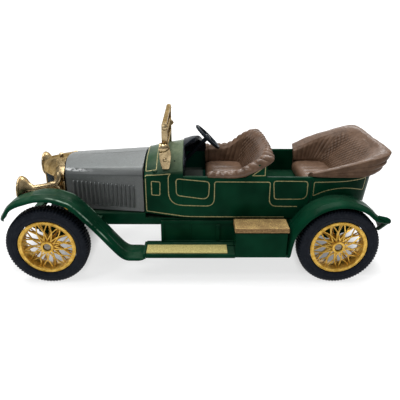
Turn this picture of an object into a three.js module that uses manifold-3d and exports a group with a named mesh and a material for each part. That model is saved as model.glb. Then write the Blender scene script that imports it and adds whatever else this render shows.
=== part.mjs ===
// Diecast collector car: an open Edwardian tourer at about 1:47, in millimetres.
// +X points to the tail, +Y to the car's right-hand side and +Z up. The tyres stand on z = 0,
// and x = 0 is halfway between the axles.
import * as THREE from 'three';
import { mergeVertices } from 'three/addons/utils/BufferGeometryUtils.js';
import Module from 'manifold-3d';

const wasm = await Module();
wasm.setup();

// ---- driving dimensions ----------------------------------------------------------------------
const FIT = 0.3;                 // gap between pieces that meet face to face
const RUNNING_GAP = 0.10;        // radial gap of the wheels on their axles

const WHEELBASE = 65;
const TYRE_RADIUS = 9.15;
const TYRE_OUTER_Y = 17.0;       // outer wall of a tyre
const TYRE_WIDTH = 4.0;
const RIM_RADIUS = 6.35;
const RIM_INNER_RADIUS = 5.5;
const HUB_RADIUS = 1.45;
const AXLE_RADIUS = 0.5;
const SPOKES_PER_ROW = 12;
const AXLE_X = WHEELBASE / 2;
const AXLE_Z = TYRE_RADIUS;

const RAIL_OUTER = 10.4;         // outer face of the chassis rails, from the centre line
const RAIL_INNER = 8.4;
const RAIL_BOTTOM = 11.7;
const RAIL_TOP_FRONT = 14.6;     // under the bonnet
const RAIL_TOP = 13.35;          // under the body
const RAIL_FRONT_X = -39;
const RAIL_REAR_X = 38;
const STEP_X = -11.1;            // where the bonnet meets the body and the rails step down
const BOARD_TOP = 7.4;
const BOARD_BOTTOM = 6.7;
const BOARD_OUTER = 17.0;
const BOARD_FRONT_X = -11;
const BOARD_REAR_X = 21.3;
const VALANCE_INNER = 10.2;
const VALANCE_OUTER = 11.0;
const VALANCE_FRONT_X = -7.6;
const WING_INNER = 11.2;
const WING_OUTER = 17.1;

const BODY_HALF = 10.9;          // half width at the doors
const BODY_WALL = 1.1;
const BODY_BOTTOM = 13.65;
const FLOOR_Z = 18;              // floor inside the body
const SILL_Z = 23.7;              // top edge of the body sides
const COWL_X = -2.4;             // rear face of the scuttle
const TAIL_X = 42.3;
const PARTITION_X = 15.2;        // wall behind the front seat
const PARTITION_THICK = 1.0;
const PARTITION_TOP = 26.7;

const BONNET_FRONT_X = -29.2;
const BONNET_WALL = 1.2;
const RADIATOR_APEX_X = -35.8;
const RADIATOR_BOTTOM = 14.9;

const LAMP_Y = 9;                // headlamp axis from the centre line
const LAMP_Z = 20.0;
const LAMP_RADIUS = 3.0;
const LAMP_FRONT_X = -39.3;

const SCREEN_HALF = 9.8;
const SCREEN_TOP = 35.6;
const SIDE_LAMP_Y = 11.2;
const SIDE_LAMP_Z = 30.5;

const WHEEL_CENTRE = new THREE.Vector3(3.5, 5, 28.4);   // centre of the steering wheel
const STEERING_WHEEL_RADIUS = 4.1;
const COLUMN_AXIS = new THREE.Vector3(0.67, 0.17, 0.72).normalize();   // up the column
const COLUMN_RADIUS = 0.42;
const COLUMN_LENGTH = 13;

const HOOD_HALF = 12.4;          // half width over the folded hood

// ---- solids ----------------------------------------------------------------------------------
function toSolid(geometry) {
  const bare = geometry.clone();
  for (const name of Object.keys(bare.attributes)) {
    if (name !== 'position') bare.deleteAttribute(name);
  }
  const merged = mergeVertices(bare, 1e-4);
  const mesh = new wasm.Mesh({
    numProp: 3,
    vertProperties: new Float32Array(merged.attributes.position.array),
    triVerts: new Uint32Array(merged.index.array),
  });
  mesh.merge();
  return new wasm.Manifold(mesh);
}

function toGeometry(solid) {
  const mesh = solid.getMesh();
  const geometry = new THREE.BufferGeometry();
  geometry.setAttribute('position', new THREE.BufferAttribute(mesh.vertProperties, 3));
  geometry.setIndex(new THREE.BufferAttribute(mesh.triVerts, 1));
  geometry.computeVertexNormals();
  return geometry;
}

const join = (solids) => solids.reduce((all, next) => all.add(next));

const cut = (solid, cutters) => cutters.reduce((left, cutter) => left.subtract(cutter), solid);

function box(x0, x1, y0, y1, z0, z1) {
  const geometry = new THREE.BoxGeometry(x1 - x0, y1 - y0, z1 - z0);
  geometry.translate((x0 + x1) / 2, (y0 + y1) / 2, (z0 + z1) / 2);
  return toSolid(geometry);
}

// A closed outline of [x, z] points, drawn along Y from y0 to y1.
function sideProfile(points, y0, y1) {
  const shape = new THREE.Shape(points.map(([x, z]) => new THREE.Vector2(x, z)));
  const geometry = new THREE.ExtrudeGeometry(shape, { depth: y1 - y0, bevelEnabled: false });
  geometry.rotateX(Math.PI / 2);
  geometry.translate(0, y1, 0);
  return toSolid(geometry);
}

// A closed outline of [x, y] points, drawn up from z0 to z1.
function planProfile(points, z0, z1) {
  const shape = new THREE.Shape(points.map(([x, y]) => new THREE.Vector2(x, y)));
  const geometry = new THREE.ExtrudeGeometry(shape, { depth: z1 - z0, bevelEnabled: false });
  geometry.translate(0, 0, z0);
  return toSolid(geometry);
}

// The two sides of a symmetrical part: one half's [x, half width] points give the whole plan.
const mirrored = (half) => [...half, ...half.map(([x, y]) => [x, -y]).reverse()];

// A solid through closed rings with the same number of points, capped flat at both ends.
function loft(rings) {
  const count = rings[0].length;
  const positions = rings.flat().flatMap((point) => [point.x, point.y, point.z]);
  const index = [];
  for (let ring = 0; ring + 1 < rings.length; ring += 1) {
    for (let i = 0; i < count; i += 1) {
      const a = ring * count + i;
      const b = ring * count + (i + 1) % count;
      index.push(a, b, a + count, b, b + count, a + count);
    }
  }
  const capFaces = (ring) => {
    const normal = new THREE.Vector3();
    ring.forEach((point, i) => normal.add(point.clone().cross(ring[(i + 1) % count])));
    const u = ring[1].clone().sub(ring[0]).normalize();
    const v = normal.normalize().clone().cross(u);
    const flat = ring.map((point) => new THREE.Vector2(point.dot(u), point.dot(v)));
    return THREE.ShapeUtils.triangulateShape(flat, []);
  };
  const last = (rings.length - 1) * count;
  capFaces(rings[0]).forEach(([a, b, c]) => index.push(a, c, b));
  capFaces(rings[rings.length - 1]).forEach(([a, b, c]) => index.push(last + a, last + b, last + c));
  const geometry = new THREE.BufferGeometry();
  geometry.setAttribute('position', new THREE.Float32BufferAttribute(positions, 3));
  geometry.setIndex(index);
  const solid = toSolid(geometry);
  if (solid.volume() > 0) return solid;
  geometry.setIndex(index.map((_, i) => index[i - (i % 3) + 2 - (i % 3)]));
  return toSolid(geometry);
}

// A solid of revolution about the Y axis, from a closed [radius, y] profile.
function turned(profile, segments) {
  const points = [...profile, profile[0]].map(([radius, y]) => new THREE.Vector2(radius, y));
  const geometry = new THREE.LatheGeometry(points, segments);
  let solid = toSolid(geometry);
  if (solid.volume() < 0) {
    geometry.scale(1, -1, 1);
    solid = toSolid(geometry).mirror([0, 1, 0]);
  }
  return solid;
}

const shift = (solid, x, y, z) => solid.translate([x, y, z]);

const flipSide = (solid) => solid.mirror([0, 1, 0]);

function rod(from, to, radius, segments) {
  const start = new THREE.Vector3(...from);
  const end = new THREE.Vector3(...to);
  const geometry = new THREE.CylinderGeometry(radius, radius, start.distanceTo(end), segments);
  const along = end.clone().sub(start).normalize();
  geometry.applyQuaternion(new THREE.Quaternion().setFromUnitVectors(THREE.Object3D.DEFAULT_UP, along));
  const middle = start.clone().add(end).multiplyScalar(0.5);
  geometry.translate(middle.x, middle.y, middle.z);
  return toSolid(geometry);
}

// ---- materials and nodes ---------------------------------------------------------------------
const finish = (color, roughness, metalness) =>
  new THREE.MeshStandardMaterial({ color, roughness, metalness });

const greenPaint = finish(0x0b3a1f, 0.3, 0.1);
const silverPaint = finish(0x8a8c8c, 0.55, 0.4);
const goldPlate = finish(0xb08a3c, 0.3, 0.9);
const goldWheel = finish(0xc9992b, 0.35, 0.7);
const rubber = finish(0x15171f, 0.8, 0);
const brownPlastic = finish(0x6b4a36, 0.5, 0);
const blackPlastic = finish(0x15181b, 0.4, 0);
const bronzePaint = finish(0x8a6a3d, 0.5, 0.4);
const steel = finish(0x9a9a98, 0.35, 0.9);
const darkCore = finish(0x1c2a33, 0.6, 0.2);

const car = new THREE.Group();

function addNode(name, solid, material, position = [0, 0, 0]) {
  const mesh = new THREE.Mesh(toGeometry(solid), material);
  mesh.name = name;
  mesh.position.set(...position);
  car.add(mesh);
}

// ---- wings -----------------------------------------------------------------------------------
const onArch = (angle, radius, axleX) => {
  const turn = THREE.MathUtils.degToRad(angle);
  return [axleX + radius * Math.cos(turn), AXLE_Z + radius * Math.sin(turn)];
};

// A station is the wing's outer edge as [x, z], then how much narrower the strip is there at
// its inner and outer edges, and where its inner edge lies if that isn't straight across.
function wing(stations) {
  const path = stations.map(([x, z]) => new THREE.Vector2(x, z));
  const rings = stations.map(([x, z, trimInner = 0, trimOuter = 0, innerX = x, innerZ = z], i) => {
    const before = path[Math.max(i - 1, 0)];
    const after = path[Math.min(i + 1, path.length - 1)];
    const run = after.clone().sub(before).normalize();
    const inner = WING_INNER + trimInner;
    const outer = WING_OUTER - trimOuter;
    const section = [
      [inner, 0.45], [outer - 1.7, 0.45], [outer - 0.6, 0.25], [outer, -0.15],
      [outer, -0.5], [outer - 0.8, -0.4], [inner, -0.3],
    ];
    return section.map(([y, lift]) => {
      const share = (outer - y) / (outer - inner);
      const edgeX = x + (innerX - x) * share;
      const edgeZ = z + (innerZ - z) * share;
      return new THREE.Vector3(edgeX - run.y * lift, -y, edgeZ + run.x * lift);
    });
  });
  return loft(rings);
}

function frontWing() {
  const crown = [142, 131, 119, 105, 92, 80, 68, 55].map((angle) => {
    const drop = 0.2 * THREE.MathUtils.clamp((angle - 80) / 30, 0, 1);
    const radius = 11.0 + 0.7 * Math.sin(THREE.MathUtils.degToRad(angle)) - drop;
    const lampRoom = THREE.MathUtils.clamp((angle - 92) / 30, 0, 1);
    return [...onArch(angle, radius, -AXLE_X), lampRoom];
  });
  const run = [[-21.2, 13.4], [-18.0, 9.4], [-16.2, 7.2], [-14.7, 6.45], [-10.3, 6.45]];
  return wing([[-42.89, 14.1, 1.8, 2.2], [-42.4, 15.0, 1.1, 0.8], ...crown, ...run]);
}

function rearWing() {
  const start = [[21.25, 7.1], [21.6, 9.8], [22.4, 12.6]];
  const crown = [142, 128, 114, 100, 86, 72, 58, 44].map((angle) => onArch(angle, 10.35, AXLE_X));
  const tail = [[41.3, 15.6, 0, 0, 41.8, 14.2], [42.5, 16.0, 0.2, 0.5, 43.2, 11.9]];
  return wing([...start, ...crown, ...tail]);
}

// ---- chassis ---------------------------------------------------------------------------------
function chassisSide() {
  const rail = sideProfile([
    [RAIL_FRONT_X, RAIL_BOTTOM + 0.8], [RAIL_FRONT_X + 2, RAIL_BOTTOM],
    [RAIL_REAR_X - 2, RAIL_BOTTOM], [RAIL_REAR_X, RAIL_BOTTOM + 0.8], [RAIL_REAR_X, RAIL_TOP],
    [STEP_X, RAIL_TOP], [STEP_X, RAIL_TOP_FRONT], [RAIL_FRONT_X, RAIL_TOP_FRONT],
  ], -RAIL_OUTER, -RAIL_INNER);
  const spring = (x) => sideProfile([
    [x - 6.5, RAIL_BOTTOM + 0.5], [x - 4, RAIL_BOTTOM - 1.6], [x - 1.4, AXLE_Z - 1.4],
    [x + 1.4, AXLE_Z - 1.4], [x + 4, RAIL_BOTTOM - 1.6], [x + 6.5, RAIL_BOTTOM + 0.5],
  ], -RAIL_OUTER + 0.4, -RAIL_INNER);
  const valance = box(VALANCE_FRONT_X, BOARD_REAR_X, -VALANCE_OUTER, -VALANCE_INNER,
    BOARD_BOTTOM, RAIL_TOP - 0.4);
  const rib = (x) => box(x, x + 0.7, -VALANCE_OUTER - 0.4, -VALANCE_INNER, BOARD_TOP - 0.3, RAIL_TOP - 0.8);
  const board = box(BOARD_FRONT_X, BOARD_REAR_X + 0.4, -BOARD_OUTER, -VALANCE_INNER,
    BOARD_BOTTOM, BOARD_TOP);
  const frontGusset = box(-23.4, -20.6, -WING_INNER - 0.6, -RAIL_OUTER + 0.4, 12.3, 14.3);
  const rearGusset = box(21.6, 24, -WING_INNER - 0.6, -RAIL_OUTER + 0.4, 11.9, 13.4);
  return join([
    rail, spring(-AXLE_X), spring(AXLE_X), valance, rib(VALANCE_FRONT_X), rib(5), board,
    frontGusset, rearGusset, frontWing(), rearWing(),
  ]);
}

const TOOLBOX = { x0: 9.3, x1: 20.8, outer: 17.0, inner: 11.3, top: 12.9 };
const RIVET_X = [-18, 24];
const RIVET_RADIUS = 1.0;
const RIVET_HEAD_RADIUS = 1.8;
const PLATE = { x0: -25, x1: 25, half: 8.1, bottom: 10.9, top: 11.9 };
const WEB_BOTTOM = PLATE.top + 0.3;

function axleBore(x, length) {
  return rod([x, -length, AXLE_Z], [x, length, AXLE_Z], AXLE_RADIUS + RUNNING_GAP, 16);
}

function chassisCasting() {
  const left = chassisSide();
  const boardGap = box(TOOLBOX.x0 - FIT, TOOLBOX.x1 + FIT, -BOARD_OUTER - 1, -VALANCE_OUTER - 0.01,
    BOARD_BOTTOM - 1, BOARD_TOP + 6);
  const web = box(-30, RAIL_REAR_X - 1, -RAIL_INNER - 0.5, RAIL_INNER + 0.5, WEB_BOTTOM, RAIL_TOP - 0.2);
  const frontTube = box(RAIL_FRONT_X + 0.6, RAIL_FRONT_X + 2.6, -RAIL_INNER - 0.5, RAIL_INNER + 0.5,
    RAIL_BOTTOM + 0.8, RAIL_BOTTOM + 2.2);
  const rivetHoles = RIVET_X.map((x) =>
    rod([x, 0, WEB_BOTTOM - 1], [x, 0, RAIL_TOP + 1], RIVET_RADIUS + 0.15, 16));
  return cut(join([cut(left, [boardGap]), flipSide(left), web, frontTube]), [
    axleBore(-AXLE_X, 12), axleBore(AXLE_X, 12), ...rivetHoles,
  ]);
}

function basePlate() {
  const plate = box(PLATE.x0, PLATE.x1, -PLATE.half, PLATE.half, PLATE.bottom, PLATE.top);
  const holes = RIVET_X.flatMap((x) => [
    rod([x, 0, 8], [x, 0, 14], RIVET_RADIUS + 0.15, 16),
    rod([x, 0, 8], [x, 0, PLATE.bottom + 0.6], RIVET_HEAD_RADIUS + 0.15, 20),
  ]);
  return cut(plate, holes);
}

function rivet(x) {
  return join([
    rod([x, 0, PLATE.bottom + 0.1], [x, 0, PLATE.bottom + 0.5], RIVET_HEAD_RADIUS, 20),
    rod([x, 0, PLATE.bottom + 0.4], [x, 0, RAIL_TOP + 0.1], RIVET_RADIUS, 16),
  ]);
}

function toolbox() {
  return box(TOOLBOX.x0, TOOLBOX.x1, -TOOLBOX.outer, -TOOLBOX.inner, BOARD_BOTTOM, TOOLBOX.top);
}

function toolboxLid() {
  return box(TOOLBOX.x0 - 0.25, TOOLBOX.x1 + 0.25, -TOOLBOX.outer - 0.1, -TOOLBOX.inner - 0.8,
    TOOLBOX.top + 0.1, TOOLBOX.top + 1.2);
}

const TREAD = { x0: -10.6, x1: 7.6, inner: 12.9, outer: 16.5, thick: 0.3 };

function treadStrip() {
  return box(TREAD.x0, TREAD.x1, -TREAD.outer, -TREAD.inner, BOARD_TOP + 0.05,
    BOARD_TOP + 0.05 + TREAD.thick);
}

// ---- body ------------------------------------------------------------------------------------
const BODY_PLAN = [
  [STEP_X, 10.1], [-7, 10.4], [COWL_X, 10.7], [3, BODY_HALF], [28, BODY_HALF], [33, 10.6],
  [36.8, 9.3], [39.8, 6.9], [41.5, 4.0], [TAIL_X, 0.6],
];

const narrowed = (plan, wall) => plan.map(([x, y]) => [x, Math.max(y - wall, 0.3)]);

// A cross section with an arched top: the higher the power, the squarer its shoulders.
function archRing(x, half, side, crown, base, power = 2) {
  const steps = 10;
  const arch = Array.from({ length: steps + 1 }, (_, i) => {
    const y = half - (2 * half * i) / steps;
    return new THREE.Vector3(x, y, crown - (crown - side) * Math.abs(y / half) ** power);
  });
  return [new THREE.Vector3(x, half, base), ...arch, new THREE.Vector3(x, -half, base)];
}

const SCUTTLE_BASE = 21.8;

const scuttle = () => loft([
  archRing(STEP_X, 10.1, 22.6, 26.2, SCUTTLE_BASE, 3.4),
  archRing(-7, 10.4, 24.0, 27.4, SCUTTLE_BASE, 2.6),
  archRing(COWL_X, 10.7, 25.1, 28.6, SCUTTLE_BASE),
]);

// The rear compartment's plan, drawn in from the body's outside.
const rearRoomPlan = (gap) => mirrored([
  [PARTITION_X + PARTITION_THICK + gap, BODY_HALF - BODY_WALL - gap],
  ...narrowed(BODY_PLAN.slice(4, -1), BODY_WALL + gap).map(([x, y]) => [x - 0.8 - gap, y]),
]);

function bodyTub() {
  const sides = planProfile(mirrored(BODY_PLAN), BODY_BOTTOM - 0.1, SILL_Z).intersect(sideProfile([
    [STEP_X, BODY_BOTTOM + 1], [-2, BODY_BOTTOM], [40.9, BODY_BOTTOM], [TAIL_X, SILL_Z],
    [TAIL_X, SILL_Z + 1], [COWL_X, SILL_Z + 1], [COWL_X, SCUTTLE_BASE + 0.1],
    [STEP_X, SCUTTLE_BASE + 0.1],
  ], -BODY_HALF - 1, BODY_HALF + 1));
  const seatSide = (side) => {
    const panel = sideProfile([
      [11.6, SILL_Z - 1], [11.6, SILL_Z], [14.3, PARTITION_TOP],
      [PARTITION_X + PARTITION_THICK, PARTITION_TOP], [PARTITION_X + PARTITION_THICK, SILL_Z - 1],
    ], -BODY_HALF, -BODY_HALF + BODY_WALL);
    return side < 0 ? panel : flipSide(panel);
  };
  const footwell = box(-9.3, COWL_X + 1, -8.2, 8.2, FLOOR_Z, 23.2);
  const cockpit = box(COWL_X, PARTITION_X, -BODY_HALF + BODY_WALL, BODY_HALF - BODY_WALL, FLOOR_Z, 40);
  const rear = planProfile(rearRoomPlan(0), FLOOR_Z, 40);
  const tub = cut(join([sides, scuttle()]), [footwell, cockpit, rear]);
  const partition = box(PARTITION_X, PARTITION_X + PARTITION_THICK, -BODY_HALF + 0.5, BODY_HALF - 0.5,
    FLOOR_Z - 1, PARTITION_TOP - 0.2);
  return join([tub, partition, seatSide(-1), seatSide(1)]);
}

// ---- bonnet and radiator ---------------------------------------------------------------------
// Cross section of the bonnet: straight sides, a bevelled shoulder and a sloping top.
function bonnetRing(x, sideHalf, crease, shoulderHalf, shoulder, crown, bottom) {
  const half = [
    [sideHalf + 0.1, bottom], [sideHalf, crease], [shoulderHalf + 0.3, shoulder - 0.2],
    [shoulderHalf - 0.5, shoulder + 0.2], [shoulderHalf * 0.5, crown - 0.35], [0.7, crown],
  ];
  const right = half.map(([y, z]) => new THREE.Vector3(x, y, z));
  const left = half.map(([y, z]) => new THREE.Vector3(x, -y, z)).reverse();
  return [...right, ...left];
}

function bonnet() {
  const rear = STEP_X - FIT;
  const outside = loft([
    bonnetRing(BONNET_FRONT_X, 8.0, 22.3, 6.05, 24.1, 25.2, 15.0),
    bonnetRing(rear, 10.0, 22.6, 7.6, 24.85, 26.3, 14.9),
  ]);
  const w = BONNET_WALL;
  const inside = loft([
    bonnetRing(BONNET_FRONT_X + w, 8.1 - w, 22.3 - w, 6.1 - w, 24.1 - w, 25.2 - w, 14),
    bonnetRing(rear - w, 9.8 - w, 22.5 - w, 7.5 - w, 24.7 - w, 26.1 - w, 14),
  ]);
  return cut(outside, [inside]);
}

function radiatorRing(x, half, shoulder, crown, bottom) {
  const points = [
    [half, bottom], [half, shoulder - 2.0], [half * 0.77, shoulder], [half * 0.15, crown],
  ];
  const right = points.map(([y, z]) => new THREE.Vector3(x, y, z));
  const left = points.map(([y, z]) => new THREE.Vector3(x, -y, z)).reverse();
  return [...right, ...left];
}

const RADIATOR_HALF = 7.3;
const RADIATOR_SIDE_X = -31.6;
const CORE_TOP = 20.8;
const CORE_BOTTOM = 15.8;

// Plan of a plate that follows the prow of the radiator.
function chevron(inset, depth) {
  const slope = (RADIATOR_SIDE_X - RADIATOR_APEX_X) / RADIATOR_HALF;
  const y = RADIATOR_HALF - inset;
  const x = RADIATOR_SIDE_X - slope * inset;
  const front = [[x, y], [RADIATOR_APEX_X, 0], [x, -y]];
  return [...front, ...front.map(([fx, fy]) => [fx + depth, fy]).reverse()];
}

function radiatorShell() {
  const shell = loft([
    radiatorRing(BONNET_FRONT_X - FIT, 8.2, 24.4, 25.5, RADIATOR_BOTTOM),
    radiatorRing(RADIATOR_SIDE_X, RADIATOR_HALF, 24.0, 25.1, RADIATOR_BOTTOM),
    radiatorRing(RADIATOR_APEX_X, 0.35, 22.2, 22.9, RADIATOR_BOTTOM + 0.8),
  ]);
  const recess = planProfile(chevron(0.8, 1.4), CORE_BOTTOM - 0.2, CORE_TOP + 0.2);
  const front = planProfile([[-38, -6.3], [RADIATOR_SIDE_X, -6.3], [RADIATOR_APEX_X + 0.9, 0],
    [RADIATOR_SIDE_X, 6.3], [-38, 6.3]], CORE_BOTTOM - 0.2, CORE_TOP + 0.2);
  const cap = join([
    rod([-31.4, 0, 24], [-31.4, 0, 25.6], 0.9, 14),
    rod([-31.4, 0, 25.5], [-31.4, 0, 26.1], 0.6, 14),
  ]);
  const bracket = (side) => rod([-30.6, side * 7.9, 18.6], [-30.6, side * 7.9, 23.2], 0.75, 12);
  return join([cut(shell, [recess, front]), cap, bracket(-1), bracket(1)]);
}

function radiatorCore() {
  return planProfile(chevron(1.0, 0.8), CORE_BOTTOM, CORE_TOP).translate([0.45, 0, 0]);
}

// ---- lamps -----------------------------------------------------------------------------------
function headlamp(side) {
  const bell = turned([
    [0, 0.1], [LAMP_RADIUS - 0.5, 0.2], [LAMP_RADIUS - 0.2, 0], [LAMP_RADIUS, 0.2],
    [LAMP_RADIUS, 0.5], [LAMP_RADIUS - 0.2, 0.6], [2.35, 1.2], [1.6, 1.9], [1.05, 2.5], [0.8, 3.0],
    [0, 3.0],
  ], 24).rotate([0, 0, -90]);
  const lamp = shift(bell, LAMP_FRONT_X, side * LAMP_Y, LAMP_Z);
  const arm = rod([LAMP_FRONT_X + 2.7, side * LAMP_Y, LAMP_Z], [-31.5, side * LAMP_Y, LAMP_Z], 0.72, 12);
  return join([lamp, arm]);
}

// ---- windscreen ------------------------------------------------------------------------------
function windscreen() {
  const post = (side) => {
    const plate = sideProfile([
      [-7.1, 25.5], [-5.7, 25.5], [-5.1, 28.4], [-5.65, 31], [-5.65, 35.3], [-6.0, SCREEN_TOP],
      [-6.7, SCREEN_TOP], [-7.0, 35.3], [-7.0, 31], [-7.5, 28.4],
    ], -SCREEN_HALF, -SCREEN_HALF + 0.8);
    const lamp = rod([-7.5, -SIDE_LAMP_Y, SIDE_LAMP_Z], [-5.2, -SIDE_LAMP_Y, SIDE_LAMP_Z], 1.05, 14);
    const stem = box(-6.9, -5.8, -SIDE_LAMP_Y + 0.6, -SCREEN_HALF + 0.2, SIDE_LAMP_Z - 0.4, SIDE_LAMP_Z + 0.4);
    const whole = join([plate, stem, lamp]);
    return side < 0 ? whole : flipSide(whole);
  };
  const rail = (z0, z1) => box(-6.85, -5.85, -SCREEN_HALF + 0.4, SCREEN_HALF - 0.4, z0, z1);
  const rails = [rail(SCREEN_TOP - 0.8, SCREEN_TOP), rail(32.0, 32.5), rail(28.8, 29.4)];
  return cut(join([post(-1), post(1), ...rails]), [shift(scuttle(), 0, 0, FIT)]);
}

// ---- dashboard and steering ------------------------------------------------------------------
const columnPoint = (distance) =>
  WHEEL_CENTRE.clone().addScaledVector(COLUMN_AXIS, -distance).toArray();

function dashboard() {
  const front = COWL_X + FIT;
  const hood = loft([
    archRing(front, 9.3, 26.0, 29.0, 24), archRing(1.8, 9.3, 26.2, 29.3, 24),
  ]);
  const under = loft([
    archRing(front + 0.8, 8.2, 25.0, 27.7, 20), archRing(3, 8.2, 25.0, 27.7, 20),
  ]);
  const ends = box(front + 0.8, 3, -9.5, 9.5, 20, 25.6);
  const panel = box(front, front + 0.8, -9.3, 9.3, 20.5, 25);
  const columnHole = rod(columnPoint(0), columnPoint(COLUMN_LENGTH + 2), COLUMN_RADIUS + 0.2, 14);
  return cut(join([cut(hood, [under, ends]), panel]), [columnHole]);
}

function steeringColumn() {
  return rod(columnPoint(0.6), columnPoint(COLUMN_LENGTH), COLUMN_RADIUS, 12);
}

function steeringWheel() {
  const rim = toSolid(new THREE.TorusGeometry(STEERING_WHEEL_RADIUS - 0.4, 0.4, 8, 32));
  const hub = toSolid(new THREE.CylinderGeometry(0.8, 0.8, 0.7, 14).rotateX(Math.PI / 2));
  const arms = [0, 1, 2, 3].map((i) => {
    const arm = new THREE.BoxGeometry(STEERING_WHEEL_RADIUS - 0.6, 0.5, 0.35);
    arm.translate((STEERING_WHEEL_RADIUS - 0.6) / 2, 0, 0);
    return toSolid(arm.rotateZ(Math.PI / 4 + (i * Math.PI) / 2));
  });
  const turn = new THREE.Quaternion().setFromUnitVectors(new THREE.Vector3(0, 0, 1), COLUMN_AXIS);
  const place = new THREE.Matrix4().makeRotationFromQuaternion(turn).setPosition(WHEEL_CENTRE);
  return join([rim, hub, ...arms]).transform(place.toArray());
}

// ---- seats and hood --------------------------------------------------------------------------
function frontSeat() {
  const innerHalf = 8.4;
  const bodyHalf = BODY_HALF - BODY_WALL - FIT;
  const shellHalf = 11.2;
  const base = FLOOR_Z + FIT;
  const back = PARTITION_X - FIT;
  const backRest = [[back, 27.0], [17.1, 27.9], [17.3, 28.5], [16.8, 29.0]];
  const centre = sideProfile([
    [3, base], [back, base], ...backRest, [15.6, 29.2], [14.2, 28.8], [12.4, 25], [11.6, 22.9],
    [3, 22.6],
  ], -innerHalf - 0.5, innerHalf + 0.5);
  const arm = (side) => {
    const top = [[15.2, 28.8], [12.6, 27.3], [10.6, 25.9], [9, 25.2]];
    const inside = sideProfile([
      [3, base], [back, base], ...backRest, ...top, [3, 25.2],
    ], -bodyHalf, -innerHalf);
    const roll = sideProfile([
      [2.7, 24.7], [3.2, SILL_Z + FIT], [11.4, SILL_Z + FIT], [14.2, 27.0], ...backRest, ...top,
      [3.2, 25.2],
    ], -shellHalf, -innerHalf);
    const whole = join([inside, roll]);
    return side < 0 ? whole : flipSide(whole);
  };
  const overPartition = box(back, 19, -12, 12, 20, PARTITION_TOP + FIT);
  return cut(join([centre, arm(-1), arm(1)]), [overPartition]);
}

const HOOD_INNER = 9.9;

function rearSeat() {
  const base = FLOOR_Z + FIT;
  const half = BODY_HALF - BODY_WALL - FIT;
  const seat = sideProfile([
    [26, base], [36, base], [36.4, 22.8], [40.1, 29.6], [39, 29.6], [33.6, 21.4], [26, 21.3],
  ], -7.9, 7.9);
  const arm = (side) => {
    const wall = sideProfile([
      [26, base], [34, base], [35.6, 22.8], [39.4, 28.9], [38.6, 29.2], [33, 27.3], [29, 25.9], [26, 25.3],
    ], -half, -7.8);
    return side < 0 ? wall : flipSide(wall);
  };
  const room = join([
    planProfile(rearRoomPlan(FIT), base, SILL_Z + FIT), box(25, 41, -half, half, SILL_Z + FIT, 31),
  ]);
  return join([seat, arm(-1), arm(1)]).intersect(room);
}

function foldedHood() {
  const top = SILL_Z + FIT;
  const band = sideProfile([
    [26.2, 25.9], [26.0, 24.9], [27.5, top], [38.8, top], [40.4, 25.4], [40.5, 26.4], [40.7, 27.3],
    [41.4, 28.5], [42.3, 29.2], [42.2, 29.9], [40.4, 30.1],
  ], -HOOD_HALF, HOOD_HALF);
  const plan = planProfile(mirrored([
    [25, 10.7], [28, 11.2], [33, 11.9], [38, HOOD_HALF], [41.2, HOOD_HALF], [42.2, 11.9], [42.5, 6],
  ]), top - 1, 31);
  const seatRoom = sideProfile([
    [20, 20], [36.6, 20], [36.9, 23], [40.5, 29.6], [40.5, 32], [20, 32],
  ], -HOOD_INNER, HOOD_INNER);
  return cut(band.intersect(plan), [seatRoom]);
}

// ---- wheels ----------------------------------------------------------------------------------
// Each wheel is made at its own centre, outer face towards -Y, and turned round for +Y.
const WHEEL_Y = TYRE_OUTER_Y - TYRE_WIDTH / 2;
const HUB_FACE = 1.75;           // outer hub face, from the wheel's mid plane
const RIM_FACE = 1.65;

function tyre() {
  const w = TYRE_WIDTH / 2;
  const inner = RIM_RADIUS + 0.15;
  return turned([
    [inner, -w + 0.35], [7.2, -w], [8.5, -w + 0.1], [TYRE_RADIUS, -w + 0.75], [TYRE_RADIUS, w - 0.75],
    [8.5, w - 0.1], [7.2, w], [inner, w - 0.35],
  ].reverse(), 44);
}

function rim() {
  const barrel = turned([
    [RIM_INNER_RADIUS, -RIM_FACE], [RIM_RADIUS, -RIM_FACE], [RIM_RADIUS, RIM_FACE],
    [RIM_INNER_RADIUS, RIM_FACE],
  ].reverse(), 36);
  const hub = rod([0, -HUB_FACE, 0], [0, HUB_FACE + 0.4, 0], HUB_RADIUS, 20);
  const reach = RIM_INNER_RADIUS + 0.3;
  const row = (lean, hubY, rimY) => Array.from({ length: SPOKES_PER_ROW }, (_, i) => {
    const angle = (2 * Math.PI * i) / SPOKES_PER_ROW;
    const far = angle + lean;
    const near = HUB_RADIUS - 0.4;
    return rod(
      [near * Math.cos(angle), hubY, near * Math.sin(angle)],
      [reach * Math.cos(far), rimY, reach * Math.sin(far)], 0.2, 4,
    );
  });
  const bore = rod([0, -3, 0], [0, 3, 0], AXLE_RADIUS + RUNNING_GAP, 16);
  const recess = rod([0, -3, 0], [0, -HUB_FACE + 0.9, 0], 0.85, 16);
  const wheel = join([barrel, hub, ...row(0.5, -1.1, -0.5), ...row(-0.5, 0.5, 0.1)]);
  return cut(wheel, [bore, recess]);
}

function axle() {
  const end = WHEEL_Y + HUB_FACE - 0.35;
  const head = (side) => rod([0, side * (end - 0.4), 0], [0, side * end, 0], 0.72, 16);
  return join([rod([0, -end, 0], [0, end, 0], AXLE_RADIUS, 16), head(-1), head(1)]);
}

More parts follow.
